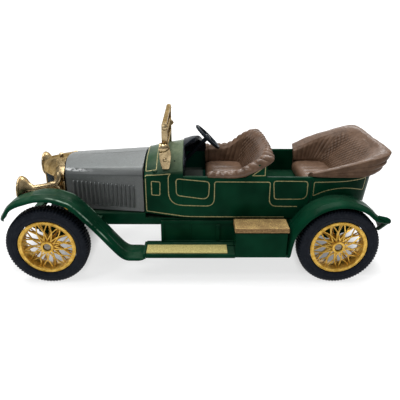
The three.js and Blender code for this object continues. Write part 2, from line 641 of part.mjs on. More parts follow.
// ---- assembly --------------------------------------------------------------------------------
addNode('chassis_casting', chassisCasting(), greenPaint);
addNode('base_plate', basePlate(), greenPaint);
addNode('front_rivet', rivet(RIVET_X[0]), steel);
addNode('rear_rivet', rivet(RIVET_X[1]), steel);
addNode('toolbox', toolbox(), greenPaint);
addNode('toolbox_lid', toolboxLid(), bronzePaint);
addNode('left_tread_strip', treadStrip(), goldPlate);
addNode('right_tread_strip', flipSide(treadStrip()), goldPlate);
addNode('body_tub', bodyTub(), greenPaint);
addNode('bonnet', bonnet(), silverPaint);
addNode('radiator_shell', radiatorShell(), goldPlate);
addNode('radiator_core', radiatorCore(), darkCore);
addNode('left_headlamp', headlamp(-1), goldPlate);
addNode('right_headlamp', headlamp(1), goldPlate);
addNode('windscreen_frame', windscreen(), goldPlate);
addNode('dashboard', dashboard(), blackPlastic);
addNode('steering_column', steeringColumn(), blackPlastic);
addNode('steering_wheel', steeringWheel(), blackPlastic);
addNode('front_seat', frontSeat(), brownPlastic);
addNode('rear_seat', rearSeat(), brownPlastic);
addNode('folded_hood', foldedHood(), brownPlastic);

for (const [end, x] of [['front', -AXLE_X], ['rear', AXLE_X]]) {
  addNode(`${end}_axle`, axle(), steel, [x, 0, AXLE_Z]);
  for (const [side, y] of [['left', -WHEEL_Y], ['right', WHEEL_Y]]) {
    const facing = (solid) => (y < 0 ? solid : flipSide(solid));
    addNode(`${end}_${side}_rim`, facing(rim()), goldWheel, [x, y, AXLE_Z]);
    addNode(`${end}_${side}_tyre`, facing(tyre()), rubber, [x, y, AXLE_Z]);
  }
}

export default car;
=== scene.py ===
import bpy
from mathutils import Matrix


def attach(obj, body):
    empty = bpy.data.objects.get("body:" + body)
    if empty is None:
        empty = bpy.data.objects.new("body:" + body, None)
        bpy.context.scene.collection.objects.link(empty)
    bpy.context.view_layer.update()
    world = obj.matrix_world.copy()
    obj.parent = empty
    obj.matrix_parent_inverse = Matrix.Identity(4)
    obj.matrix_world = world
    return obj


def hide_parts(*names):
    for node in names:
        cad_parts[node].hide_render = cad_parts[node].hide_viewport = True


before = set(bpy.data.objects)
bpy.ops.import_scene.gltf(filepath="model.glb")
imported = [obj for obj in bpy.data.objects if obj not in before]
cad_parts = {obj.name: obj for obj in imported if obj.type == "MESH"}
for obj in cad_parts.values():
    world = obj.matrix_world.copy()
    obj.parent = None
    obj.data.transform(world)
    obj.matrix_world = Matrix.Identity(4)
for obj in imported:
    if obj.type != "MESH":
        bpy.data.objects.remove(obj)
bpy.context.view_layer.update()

import math

import bmesh
import bpy
from mathutils import Matrix, Vector

# Diecast collector car. Shapes are written in millimetres in the frame of the CAD model:
# +X to the tail, +Y to the car's right, +Z up, tyres standing on z = 0.
MM = 0.001


# ---- shape helpers ---------------------------------------------------------------------------
def lerp(a, b, t):
    return a + (b - a) * t


def clamp(value, low=0.0, high=1.0):
    return max(low, min(high, value))


def ease(value):
    value = clamp(value)
    return value * value * (3 - 2 * value)


def spline(points, per_span):
    """A smooth curve through points of any size, with per_span steps between neighbours."""
    ends = [points[0]] + list(points) + [points[-1]]
    result = []
    for k in range(1, len(ends) - 2):
        p0, p1, p2, p3 = ends[k - 1:k + 3]
        for i in range(per_span):
            t = i / per_span
            result.append(tuple(
                0.5 * (2 * b + (c - a) * t + (2 * a - 5 * b + 4 * c - d) * t * t
                       + (3 * b - a - 3 * c + d) * t ** 3)
                for a, b, c, d in zip(p0, p1, p2, p3)))
    result.append(tuple(points[-1]))
    return result


def along(table, x):
    """Straight-line lookup in a list of (x, value, ...) rows."""
    if x <= table[0][0]:
        return table[0][1:]
    for a, b in zip(table, table[1:]):
        if x <= b[0]:
            t = (x - a[0]) / (b[0] - a[0])
            return tuple(lerp(p, q, t) for p, q in zip(a[1:], b[1:]))
    return table[-1][1:]


def neighbours(points, k, closed=False):
    """The points before and after one of a path; an open path's end stands in for a missing one."""
    if closed:
        return points[k - 1], points[(k + 1) % len(points)]
    return points[max(k - 1, 0)], points[min(k + 1, len(points) - 1)]


def taper(start, end, path):
    """A radius for each point of a path, changing evenly."""
    return [lerp(start, end, k / (len(path) - 1)) for k in range(len(path))]


class Solid:
    """Closed bodies gathered into one mesh, in millimetres."""

    def __init__(self):
        self.verts, self.faces, self.shade = [], [], {}

    def add(self, verts, faces):
        base = len(self.verts)
        self.verts += [tuple(v) for v in verts]
        self.faces += [[i + base for i in face] for face in faces]
        return self

    def loft(self, rings, closed=False):
        count, total = len(rings[0]), len(rings)
        faces = []
        for r in range(total if closed else total - 1):
            for i in range(count):
                a, b = r * count + i, r * count + (i + 1) % count
                c, d = (b + count) % (count * total), (a + count) % (count * total)
                faces.append([a, b, c, d])
        if not closed:
            faces.append(list(range(count))[::-1])
            faces.append([(total - 1) * count + i for i in range(count)])
        return self.add([p for ring in rings for p in ring], faces)

    def box(self, x0, x1, y0, y1, z0, z1):
        ring = lambda z: [(x0, y0, z), (x1, y0, z), (x1, y1, z), (x0, y1, z)]
        return self.loft([ring(z0), ring(z1)])

    def prism(self, outline, y0, y1):
        return self.loft([[(x, y, z) for x, z in outline] for y in (y0, y1)])

    def lathe(self, profile, centre, axis, steps):
        """Turns (radius, distance along the axis) points round an axis through centre. A profile
        that starts on the axis also ends on it; any other is a closed loop."""
        axis = Vector(axis).normalized()
        side = axis.orthogonal().normalized()
        other = axis.cross(side)
        rings = []
        for k in range(steps):
            angle = 2 * math.pi * k / steps
            out = side * math.cos(angle) + other * math.sin(angle)
            rings.append([Vector(centre) + out * max(r, 1e-4) + axis * h for r, h in profile])
        if profile[0][0] > 0:
            return self.loft(rings, closed=True)
        count = len(profile)
        faces = []
        for k in range(steps):
            for i in range(count - 1):
                a, b = k * count + i, ((k + 1) % steps) * count + i
                faces.append([a, a + 1, b + 1, b])
        faces.append([k * count for k in range(steps)])
        faces.append([k * count + count - 1 for k in range(steps)][::-1])
        return self.add([p for ring in rings for p in ring], faces)

    def tube(self, path, radius, sides=10):
        """A round bar along a path; radius is one number or one for each point."""
        points = [Vector(p) for p in path]
        radii = radius if isinstance(radius, (list, tuple)) else [radius] * len(points)
        normal, rings = None, []
        for k, point in enumerate(points):
            before, after = neighbours(points, k)
            ahead = (after - before).normalized()
            normal = ahead.orthogonal() if normal is None else normal - ahead * normal.dot(ahead)
            normal.normalize()
            other = ahead.cross(normal)
            rings.append([
                point + (normal * math.cos(2 * math.pi * i / sides)
                         + other * math.sin(2 * math.pi * i / sides)) * radii[k]
                for i in range(sides)])
        return self.loft(rings)

    def pad(self, rings):
        """Lofts rings of (point, tone) pairs; where the tone is 0, in grooves, the colour is darkened as
        painted shade.
        """
        base = len(self.verts)
        self.loft([[point for point, tone in ring] for ring in rings])
        tones = [tone for ring in rings for point, tone in ring]
        self.shade.update({base + i: clamp(tone) for i, tone in enumerate(tones)})
        return self

    def mirror(self):
        """Adds a copy on the other side of the centre plane."""
        count = len(self.verts)
        self.add([(x, -y, z) for x, y, z in self.verts], [face[::-1] for face in self.faces])
        self.shade.update({i + count: v for i, v in self.shade.items()})
        return self

    def make(self, name, paint, body="root", stands_for=None, sharp=32, bevel=0.0):
        """Turns the mesh into a piece of the scene; edges of more than sharp degrees stay crisp."""
        material, slot = paint
        mesh = bpy.data.meshes.new(name)
        mesh.from_pydata([[c * MM for c in v] for v in self.verts], [], self.faces)
        if self.shade:
            tone = mesh.attributes.new("tone", "FLOAT", "POINT")
            for i, value in self.shade.items():
                tone.data[i].value = value
        bm = bmesh.new()
        bm.from_mesh(mesh)
        bmesh.ops.remove_doubles(bm, verts=bm.verts, dist=2e-7)
        bmesh.ops.dissolve_degenerate(bm, edges=bm.edges, dist=1e-8)
        bmesh.ops.recalc_face_normals(bm, faces=bm.faces)
        bm.to_mesh(mesh)
        bm.free()
        mesh.shade_smooth()
        mesh.set_sharp_from_angle(angle=math.radians(sharp))
        piece = bpy.data.objects.new(name, mesh)
        bpy.context.scene.collection.objects.link(piece)
        mesh.materials.append(material)
        if bevel:
            soften(piece, bevel)
        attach(piece, body)
        if stands_for:
            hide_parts(stands_for)
        return piece


def soften(piece, width):
    """Rounds every sharp edge, as a casting or moulding has it."""
    bevel = piece.modifiers.new("edges", "BEVEL")
    bevel.width = width * MM
    bevel.segments = 2
    bevel.limit_method = "ANGLE"
    bevel.angle_limit = math.radians(35)
    bevel.harden_normals = True


# ---- materials -------------------------------------------------------------------------------
class Finish:
    """A principled material whose detail is drawn in millimetres of the frame."""

    def __init__(self, name, rough, metallic=0.0, specular=0.5):
        self.material = bpy.data.materials.new(name)
        self.material.use_nodes = True
        self.nodes = self.material.node_tree.nodes
        self.links = self.material.node_tree.links
        self.shader = self.nodes["Principled BSDF"]
        self.set("Metallic", metallic)
        self.set("Roughness", rough)
        self.set("Coat Roughness", 0.08)
        self.set("Specular IOR Level", specular)
        place = self.node("TexCoord", {}, "Object")
        self.mm = self.node("VectorMath", {0: place, "Scale": 1 / MM}, operation="SCALE")

    def set(self, name, value):
        self.shader.inputs[name].default_value = value

    def drive(self, name, output):
        self.links.new(output, self.shader.inputs[name])

    def node(self, kind, inputs, output=0, **settings):
        """Adds a shader node; inputs are numbers, colours or other nodes' outputs."""
        node = self.nodes.new("ShaderNode" + kind)
        for name, value in settings.items():
            setattr(node, name, value)
        for key, value in inputs.items():
            if hasattr(value, "is_output"):
                self.links.new(value, node.inputs[key])
            else:
                node.inputs[key].default_value = value
        return node.outputs[output]

    def noise(self, scale, detail=3, rough=0.6, stretch=(1, 1, 1)):
        place = self.node("VectorMath", {0: self.mm, 1: stretch}, operation="MULTIPLY")
        inputs = {"Vector": place, "Scale": scale, "Detail": detail, "Roughness": rough}
        return self.node("TexNoise", inputs, "Fac")

    def cells(self, scale):
        return self.node("TexVoronoi", {"Vector": self.mm, "Scale": scale}, "Distance")

    def math(self, operation, a, b=0.0):
        return self.node("Math", {0: a, 1: b}, operation=operation)

    def span(self, value, low, high, to_low=0.0, to_high=1.0):
        """Maps a value from one range to another, held at both ends."""
        return self.node("MapRange", {"Value": value, "From Min": low, "From Max": high, "To Min": to_low,
                                      "To Max": to_high}, "Result")

    def blend(self, fraction, a, b):
        a, b = (colour if hasattr(colour, "is_output") else (*colour, 1) for colour in (a, b))
        return self.node("Mix", {"Factor": fraction, 6: a, 7: b}, 2, data_type="RGBA")

    def times(self, *values):
        result = values[0]
        for value in values[1:]:
            result = self.math("MULTIPLY", result, value)
        return result

    def between(self, value, start, full, fading, end):
        """1 from full to fading, and 0 before start and after end."""
        return self.times(self.span(value, start, full), self.span(value, end, fading))

    def patches(self, scale, low, high, to_low=0.0, to_high=1.0, detail=4, rough=0.7):
        """Cloudy noise, stretched so that low and high become to_low and to_high."""
        return self.span(self.noise(scale, detail, rough), low, high, to_low, to_high)

    def specks(self, scale, limit, strength, detail=4, rough=0.75):
        """Small spots with a hard edge, where the noise is over a limit."""
        return self.times(self.math("GREATER_THAN", self.noise(scale, detail, rough), limit), strength)

    def axis(self, name):
        return self.node("SeparateXYZ", {0: self.mm}, name)

    def distance(self, name, place=0.0):
        """How far a point is from a plane across one axis."""
        return self.math("ABSOLUTE", self.math("SUBTRACT", self.axis(name), place))

    def facing_up(self):
        return self.node("SeparateXYZ", {0: self.node("NewGeometry", {}, "Normal")}, "Z")

    def bump(self, height, depth_mm):
        inputs = {"Height": height, "Strength": 1, "Distance": depth_mm * MM}
        self.drive("Normal", self.node("Bump", inputs))

    def finish(self, colour, roughness=None, grain=None):
        """Sets the colour, patchy roughness (scale, low, high) and grain (noise arguments, depth)."""
        self.drive("Base Color", colour)
        if roughness:
            scale, low, high = roughness
            self.drive("Roughness", self.patches(scale, 0.3, 0.7, low, high))
        if grain:
            self.bump(self.noise(*grain[:-1]), grain[-1])
        return self.material


def green_enamel():
    f = Finish("green_enamel", 0.22, specular=0.02)
    x, z, across, up = f.axis("X"), f.axis("Z"), f.distance("Y"), f.facing_up()
    depth = f.patches(0.12, 0.35, 0.65, detail=2, rough=0.6)
    colour = f.blend(depth, (0.0008, 0.018, 0.008), (0.0024, 0.034, 0.0155))
    # dust, and a painted sheen: upward faces are paler where the light falls on the tops
    dust = f.times(f.span(up, 0.55, 1.0), f.patches(0.5, 0.3, 0.75, 0.02, 0.3), f.span(x, 8, 24, 1, 0.5))
    colour = f.blend(dust, colour, (0.085, 0.125, 0.085))
    # paler, patchy colour over the scuttle's top, stronger higher up and towards the windscreen
    scuttle_pale_patches = f.times(f.span(z, 24.2, 27.6), f.span(x, -10.5, -5.0, 0.2, 0.9), f.span(x, 1, -1),
                           f.patches(0.8, 0.3, 0.7, 0.55, 1))
    colour = f.blend(scuttle_pale_patches, colour, (0.17, 0.205, 0.13))
    # painted light: the front footwell's inner sides are lifted to a brighter green, and its floor to a
    # pale grey-green, as if lit
    footwell_painted_light = f.times(f.span(across, 10.0, 9.7), f.span(z, 17.6, 17.9), f.between(x, -2.4, -2.1, 3.0, 3.6))
    colour = f.blend(f.times(footwell_painted_light, f.span(z, 24.2, 23.2)), colour, (0.004, 0.065, 0.042))
    footwell_floor_painted_light = f.times(footwell_painted_light, f.span(z, 18.8, 18.4), f.span(x, 2.6, 2.2))
    colour = f.blend(footwell_floor_painted_light, colour, (0.13, 0.15, 0.13))
    # painted highlight: broken pale streaks along the inner and outer rims of the front wings' tops
    wing_rims = f.math("MAXIMUM", f.between(across, 11.0, 11.1, 11.6, 11.75),
                       f.between(across, 16.35, 16.45, 16.65, 16.75))
    painted_rim_highlight = f.span(f.noise(0.4, 3, 0.6, (1, 0.2, 1)), 0.42, 0.6, 0, 0.6)
    painted_rim_highlight = f.times(painted_rim_highlight, wing_rims, f.between(x, -31.5, -30.5, -20, -18), f.span(up, 0.35, 0.5))
    colour = f.blend(painted_rim_highlight, colour, (0.34, 0.46, 0.36))
    colour = f.blend(f.specks(2.6, 0.745, 0.45), colour, (0.16, 0.18, 0.14))
    return f.finish(colour, roughness=(0.9, 0.12, 0.26), grain=(1.3, 2, 0.01))


def silver_paint():
    f = Finish("silver_paint", 0.45, metallic=0.3, specular=0.3)
    up = f.facing_up()
    flake = f.patches(7, 0.36, 0.66, detail=3, rough=0.8)
    colour = f.blend(flake, (0.100, 0.108, 0.106), (0.190, 0.202, 0.198))
    colour = f.blend(f.patches(0.22, 0.42, 0.72, 0, 0.4, rough=0.65), colour, (0.10, 0.10, 0.095))
    colour = f.blend(f.specks(3.1, 0.75, 0.7), colour, (0.04, 0.042, 0.045))
    # painted shade: faces that lean away from the top are darkened, the bevel below the crease most and the
    # upright sides less
    shade = f.times(f.span(up, 0.92, 0.75), f.span(up, 0.1, 0.5, 0.42, 0.75))
    colour = f.blend(shade, colour, (0.03, 0.033, 0.033))
    # wear, and a painted highlight: a pale broken streak along the bonnet's crease, strongest at the front
    crease_wear_and_highlight = f.times(f.span(f.distance("Z", 24.1), 0.4, 0.05), f.span(f.axis("X"), -22.5, -29),
                          f.patches(1.5, 0.42, 0.56), 0.75)
    colour = f.blend(crease_wear_and_highlight, colour, (0.75, 0.76, 0.76))
    return f.finish(colour, roughness=(1.2, 0.36, 0.52), grain=(6, 3, 0.7, 0.012))


def gold_plating():
    f = Finish("gold_plating", 0.3, metallic=1.0)
    colour = f.blend(f.patches(0.55, 0.35, 0.68, rough=0.65), (0.24, 0.175, 0.095), (0.53, 0.41, 0.235))
    f.set("Specular Tint", (0.60, 0.50, 0.36, 1))
    colour = f.blend(f.patches(1.7, 0.5, 0.72, 0, 0.6), colour, (0.06, 0.042, 0.024))
    return f.finish(colour, roughness=(1.1, 0.18, 0.36), grain=(1.8, 2, 0.005))


def wheel_gold():
    f = Finish("wheel_gold", 0.34, metallic=0.75, specular=0.3)
    cloudy = f.patches(0.9, 0.35, 0.68, detail=3, rough=0.6)
    colour = f.blend(cloudy, (0.46, 0.26, 0.032), (0.78, 0.50, 0.11))
    colour = f.blend(f.patches(2.2, 0.52, 0.78, 0, 0.6), colour, (0.09, 0.05, 0.014))
    return f.finish(colour, roughness=(1.4, 0.24, 0.42), grain=(2.4, 2, 0.008))


def tyre_rubber():
    f = Finish("tyre_rubber", 0.5, specular=0.08)
    colour = f.blend(f.patches(0.4, 0.35, 0.7), (0.0035, 0.005, 0.0085), (0.0075, 0.0100, 0.0155))
    dust = f.patches(1.8, 0.5, 0.78, 0, 0.3, detail=5, rough=0.75)
    colour = f.blend(dust, colour, (0.045, 0.046, 0.055))
    return f.finish(colour, roughness=(0.8, 0.36, 0.56), grain=(4, 4, 0.7, 0.012))


def brown_moulding():
    f = Finish("brown_moulding", 0.3, specular=0.10)
    tone = f.node("Attribute", {}, "Fac", attribute_name="tone")      # 0 in grooves, 1 on top of pads
    colour = f.blend(f.patches(0.35, 0.35, 0.68, rough=0.65), (0.070, 0.039, 0.023), (0.130, 0.076, 0.048))
    # painted shade: the brown is darkened in the grooves of quilting, pleats, rolls and folds, where the
    # tone is low
    colour = f.blend(f.span(tone, 0, 1, 0.66, 0), colour, (0.020, 0.010, 0.006))
    # paler patches on upward-facing surfaces
    paler_upward_patches = f.times(f.span(f.facing_up(), 0.3, 1.0), f.patches(1.6, 0.4, 0.75, 0, 0.3))
    polished_arm = f.times(f.span(f.axis("Y"), -9.0, -10.0), f.span(f.axis("X"), 19, 17), 0.4)
    f.drive("Coat Weight", polished_arm)
    colour = f.blend(paler_upward_patches, colour, (0.30, 0.205, 0.15))
    return f.finish(colour, roughness=(1.0, 0.24, 0.42), grain=(4.5, 4, 0.7, 0.014))


def black_plastic():
    f = Finish("black_plastic", 0.3, specular=0.05)
    colour = f.blend(f.patches(0.8, 0.35, 0.7), (0.008, 0.011, 0.015), (0.018, 0.023, 0.030))
    return f.finish(colour, roughness=(1.5, 0.22, 0.38), grain=(3.5, 3, 0.01))


def sparkling_gold():
    f = Finish("sparkling_gold", 0.5, metallic=0.3, specular=0.3)
    colour = f.blend(f.patches(6.5, 0.38, 0.64, rough=0.8), (0.36, 0.29, 0.085), (0.84, 0.75, 0.32))
    specks = f.specks(4.2, 0.70, 0.6, detail=3, rough=0.8)
    colour = f.blend(specks, colour, (0.06, 0.05, 0.02))
    return f.finish(colour, grain=(7, 3, 0.8, 0.04))


def rubbed_bronze():
    f = Finish("rubbed_bronze", 0.5, metallic=0.4, specular=0.25)
    colour = f.blend(f.patches(2.4, 0.38, 0.66, rough=0.75), (0.13, 0.072, 0.028), (0.34, 0.21, 0.09))
    # painted glints: bright gold specks, only on the lid's upward faces
    painted_top_glints = f.times(f.patches(7.5, 0.46, 0.60, detail=3, rough=0.85), f.span(f.facing_up(), 0.5, 0.95),
                      f.patches(0.5, 0.4, 0.6, 0.4, 1, detail=3, rough=0.6))
    colour = f.blend(painted_top_glints, colour, (0.85, 0.62, 0.25))
    return f.finish(colour, grain=(6, 3, 0.8, 0.04))


def dark_core():
    f = Finish("dark_core", 0.5, metallic=0.1, specular=0.15)
    # painted shade: the hollows of the honeycomb are darker than its walls
    mesh = f.span(f.cells(3.2), 0.05, 0.22)
    f.bump(mesh, 0.03)
    colour = f.blend(mesh, (0.004, 0.007, 0.009), (0.024, 0.036, 0.042))
    return f.finish(colour)


def plain_steel():
    f = Finish("plain_steel", 0.32, metallic=1.0)
    colour = f.blend(f.patches(2.5, 0.35, 0.7), (0.11, 0.095, 0.075), (0.30, 0.27, 0.23))
    return f.finish(colour, grain=(5, 3, 0.7, 0.01))


def stripe_gold():
    f = Finish("stripe_gold", 0.42, metallic=0.2, specular=0.2)
    worn = f.patches(2.8, 0.36, 0.66, rough=0.75)
    colour = f.blend(worn, (0.15, 0.14, 0.06), (0.36, 0.31, 0.14))
    return f.finish(colour)


def shut_line():
    f = Finish("shut_line", 0.6, specular=0.1)
    colour = f.blend(f.noise(2, 2), (0.001, 0.006, 0.004), (0.003, 0.014, 0.008))
    return f.finish(colour)


# each paint is a material and the name of its slot in the frame
ENAMEL, STEEL, TREAD = green_enamel(), plain_steel(), sparkling_gold()
GREEN, GROOVE, STRIPE = (ENAMEL, "green_paint"), (shut_line(), "green_paint"), (stripe_gold(), "tread_gold")
SILVER, GOLD = (silver_paint(), "silver_paint"), (gold_plating(), "gold_plate")
WHEEL_GOLD, RUBBER = (wheel_gold(), "wheel_gold"), (tyre_rubber(), "tyre_rubber")
BROWN, BLACK = (brown_moulding(), "brown_plastic"), (black_plastic(), "black_plastic")
BRONZE, CORE = (rubbed_bronze(), "bronze_paint"), (dark_core(), "core_paint")


# ---- camera, floor and light -----------------------------------------------------------------
CAMERA_PLACE = (-0.22, -101.73, 58.75)
CAMERA_TURN = (1.037, 24.05, 0.555)     # degrees of yaw, downward pitch and roll
CAMERA_LENS, CAMERA_SENSOR = 39.55, 36.0


def make_camera():
    yaw, pitch, roll = (math.radians(angle) for angle in CAMERA_TURN)
    level_ahead = Vector((math.sin(yaw), math.cos(yaw), 0))
    ahead = level_ahead * math.cos(pitch) - Vector((0, 0, math.sin(pitch)))
    level = Vector((math.cos(yaw), -math.sin(yaw), 0))
    upright = level.cross(ahead)
    right = level * math.cos(roll) + upright * math.sin(roll)
    up = upright * math.cos(roll) - level * math.sin(roll)
    data = bpy.data.cameras.new("camera")
    data.lens, data.sensor_width, data.clip_start = CAMERA_LENS, CAMERA_SENSOR, 0.002
    camera = bpy.data.objects.new("camera", data)
    turn = Matrix((right, up, -ahead)).transposed().to_4x4()
    camera.matrix_world = Matrix.Translation(Vector(CAMERA_PLACE) * MM) @ turn
    bpy.context.scene.collection.objects.link(camera)
    bpy.context.scene.camera = camera


def make_floor():
    """White paper, flat under the car and curving up behind it; its glow is dimmed under the axles as a
    painted shadow.
    """
    reach, bend_start, bend_radius = 2500, 600, 400
    bend = [(bend_start + bend_radius * math.sin(angle), bend_radius * (1 - math.cos(angle)))
            for angle in (math.radians(a) for a in range(4, 61, 4))]
    profile = [(-reach, 0), (bend_start, 0)] + bend + [(1350, 900)]
    verts = [(x * MM, y * MM, (z - 0.01) * MM) for y, z in profile for x in (-reach, reach)]
    faces = [[2 * k, 2 * k + 1, 2 * k + 3, 2 * k + 2] for k in range(len(profile) - 1)]
    mesh = bpy.data.meshes.new("floor")
    mesh.from_pydata(verts, [], faces)
    mesh.shade_smooth()
    f = Finish("floor_paper", 0.8, specular=0.05)
    f.drive("Base Color", f.blend(f.noise(0.02, 2), (0.30, 0.30, 0.30), (0.33, 0.33, 0.33)))
    f.set("Emission Color", (1, 1, 1, 1))
    # painted shadow: the floor's glow is dimmed in patches round the axles, beneath the car
    painted_axle_shadow = f.times(f.between(f.distance("X"), 25, 30, 41, 47), f.span(f.distance("Y", 1.5), 16, 10))
    f.drive("Emission Strength", f.span(painted_axle_shadow, 0, 1, 0.72, 0.18))
    mesh.materials.append(f.material)
    floor = bpy.data.objects.new("floor", mesh)
    bpy.context.scene.collection.objects.link(floor)


def add_light(name, kind, energy, place, size=0.3, colour=(1, 1, 1)):
    data = bpy.data.lights.new(name, kind)
    data.energy, data.color = energy, colour
    if kind == "SUN":
        data.angle = math.radians(size)
    else:
        data.shape, data.size = "SQUARE", size
    lamp = bpy.data.objects.new(name, data)
    lamp.location = place
    lamp.rotation_euler = (-Vector(place)).to_track_quat("-Z", "Y").to_euler()
    bpy.context.scene.collection.objects.link(lamp)


def make_lights():
    add_light("sky_panel", "SUN", 3.1, (-0.10, 0.10, 0.6), 50)
    add_light("front_left_panel", "AREA", 0.35, (-0.22, -0.20, 0.34), 0.07)
    add_light("back_panel", "AREA", 0.6, (0.08, 0.30, 0.28), 0.14)
    world = bpy.data.worlds.new("studio")
    bpy.context.scene.world = world
    world.use_nodes = True
    nodes, links = world.node_tree.nodes, world.node_tree.links
    place = nodes.new("ShaderNodeTexCoord")
    split = nodes.new("ShaderNodeSeparateXYZ")
    ramp = nodes.new("ShaderNodeMapRange")
    links.new(place.outputs["Generated"], split.inputs[0])
    links.new(split.outputs["Z"], ramp.inputs["Value"])
    for name, value in (("From Min", 0.05), ("From Max", 0.75), ("To Min", 0.12), ("To Max", 0.6)):
        ramp.inputs[name].default_value = value
    links.new(ramp.outputs["Result"], nodes["Background"].inputs["Strength"])
    nodes["Background"].inputs["Color"].default_value = (0.97, 0.99, 1, 1)
    bpy.context.scene.view_settings.view_transform = "Standard"
    bpy.context.scene.view_settings.look = "None"


make_camera()
make_floor()
make_lights()


# ---- body ------------------------------------------------------------------------------------
COWL_X, STEP_X, TAIL_X, FOOTWELL_X = -2.4, -11.1, 42.6, -9.3
SILL_Z, FLOOR_Z, BOTTOM_Z = 23.7, 18.0, 13.65
WALL, BODY_HALF, FOOTWELL_HALF = 1.1, 10.9, 8.2
PLAN_CURVE = spline([
    (COWL_X, 10.7), (3, BODY_HALF), (15, BODY_HALF), (28, BODY_HALF), (33, 10.75), (37.2, 9.8),
    (40.4, 7.6), (42.0, 4.5), (TAIL_X, 0.7)], 8)
# x, half width, height at the side, height at the crown, and how square the arch is
SCUTTLE = [(STEP_X, 10.1, 23.3, 26.4, 2.8), (-7, 10.4, 24.4, 27.5, 2.4), (COWL_X, 10.7, 25.1, 28.6, 2.0)]


def body_bottom(x):
    """The underside steps up by 1 mm towards the front."""
    return BOTTOM_Z + clamp((-2 - x) / 9.1)


def tail_slant(x, z):
    """How far the tail is drawn in below the sill."""
    return -1.4 * clamp((SILL_Z - z) / 10, -0.1, 1) * clamp((x - 33) / 9.3) ** 1.6


def arch_z(x, y):
    """Height of the scuttle's arched top."""
    half, side, crown, power = along(SCUTTLE, x)
    return crown - (crown - side) * abs(y / half) ** power


def side_y(x, z):
    """Half width of the outside of the body at a point of its side."""
    if x < COWL_X:
        half, side, crown, power = along(SCUTTLE, x)
        return half if z <= side else half * clamp((crown - z) / (crown - side)) ** (1 / power)
    return along(PLAN_CURVE, x - tail_slant(x, z))[0]


def scuttle_outline(x, inset=0.0):
    """A section of the scuttle, from one foot over the top to the other; inset rounds its ends."""
    half, side, crown, power = along(SCUTTLE, x)
    steps = 36
    ring = [(x, half, body_bottom(x))]
    for i in range(steps + 1):
        share = math.cos(math.pi * i / steps)
        share = math.copysign(abs(share) ** 0.8, share)
        ring.append((x, half * share, crown - (crown - side) * abs(share) ** power))
    ring.append((x, -half, body_bottom(x)))
    result = []
    for px, py, pz in ring:
        drop = inset * clamp((pz - 23.5) / 1.5)
        result.append((px, py * (1 - drop / 12), pz - drop))
    return result


def make_body():
    s = Solid()
    nose = [
        (STEP_X, 0.22), (STEP_X + 0.06, 0.1), (STEP_X + 0.16, 0.03), (STEP_X + 0.3, 0), (-10.2, 0),
        (FOOTWELL_X, 0)]
    s.loft([scuttle_outline(x, inset) for x, inset in nose])
    stops = [(x, 0) for x in (FOOTWELL_X, -8.5, -7.7, -7, -6, -5, -4, -3.2, COWL_X - 0.3)]
    stops += [(COWL_X - 0.12, 0.05), (COWL_X, 0.2)]
    rings = []
    for x, inset in stops:
        low = body_bottom(x)
        hollow = [
            (-FOOTWELL_HALF, low), (-FOOTWELL_HALF, 22.8), (-7.8, 23.2), (7.8, 23.2),
            (FOOTWELL_HALF, 22.8), (FOOTWELL_HALF, low)]
        rings.append(scuttle_outline(x, inset) + [(x, y, z) for y, z in hollow])
    s.loft(rings)
    s.loft([[(x, -FOOTWELL_HALF, body_bottom(x)), (x, FOOTWELL_HALF, body_bottom(x)),
             (x, FOOTWELL_HALF, FLOOR_Z), (x, -FOOTWELL_HALF, FLOOR_Z)] for x in (FOOTWELL_X, COWL_X)])

    left = [(x, -y) for x, y in PLAN_CURVE]
    path = left + [(x, -y) for x, y in reversed(left)]
    lip = [(0, 23.25), (0.05, 23.48), (0.17, 23.63), (0.36, SILL_Z)]
    section = [(0.9, BOTTOM_Z), (0.2, BOTTOM_Z), (0.04, BOTTOM_Z + 0.1), (0, BOTTOM_Z + 0.4), (0, 18)]
    section += [(0, 22)] + lip + [(WALL - d, z) for d, z in reversed(lip)]
    section += [(WALL, 20), (WALL, FLOOR_Z - 0.3)]
    rings, floor = [], []
    for k, (x, y) in enumerate(path):
        before, after = neighbours(path, k)
        run = (Vector(after) - Vector(before)).normalized()
        inward = Vector((-run.y, run.x)) if k not in (0, len(path) - 1) else Vector((0, -1 if y > 0 else 1))
        rings.append([(x + inward.x * d + tail_slant(x, z), y + inward.y * d, z) for d, z in section])
        floor.append((x + inward.x * 0.95, y + inward.y * 0.95))
    s.loft(rings)
    s.loft([[(x + tail_slant(x, z), y, z) for x, y in floor] for z in (BOTTOM_Z + 0.02, 15.5, FLOOR_Z)])
    s.make("body_shell", GREEN, stands_for="body_tub", sharp=38)

    partition = Solid()
    outline = [
        (11.4, 23.4), (11.75, SILL_Z), (14.2, 26.45), (14.5, 26.65), (14.8, 26.7), (16.05, 26.7),
        (16.2, 26.55), (16.2, 23.4)]
    partition.prism(outline, -BODY_HALF, WALL - BODY_HALF).mirror()
    partition.box(15.2, 16.2, -10.1, 10.1, FLOOR_Z - 0.5, 26.5)
    partition.make("seat_partition", GREEN, bevel=0.12)


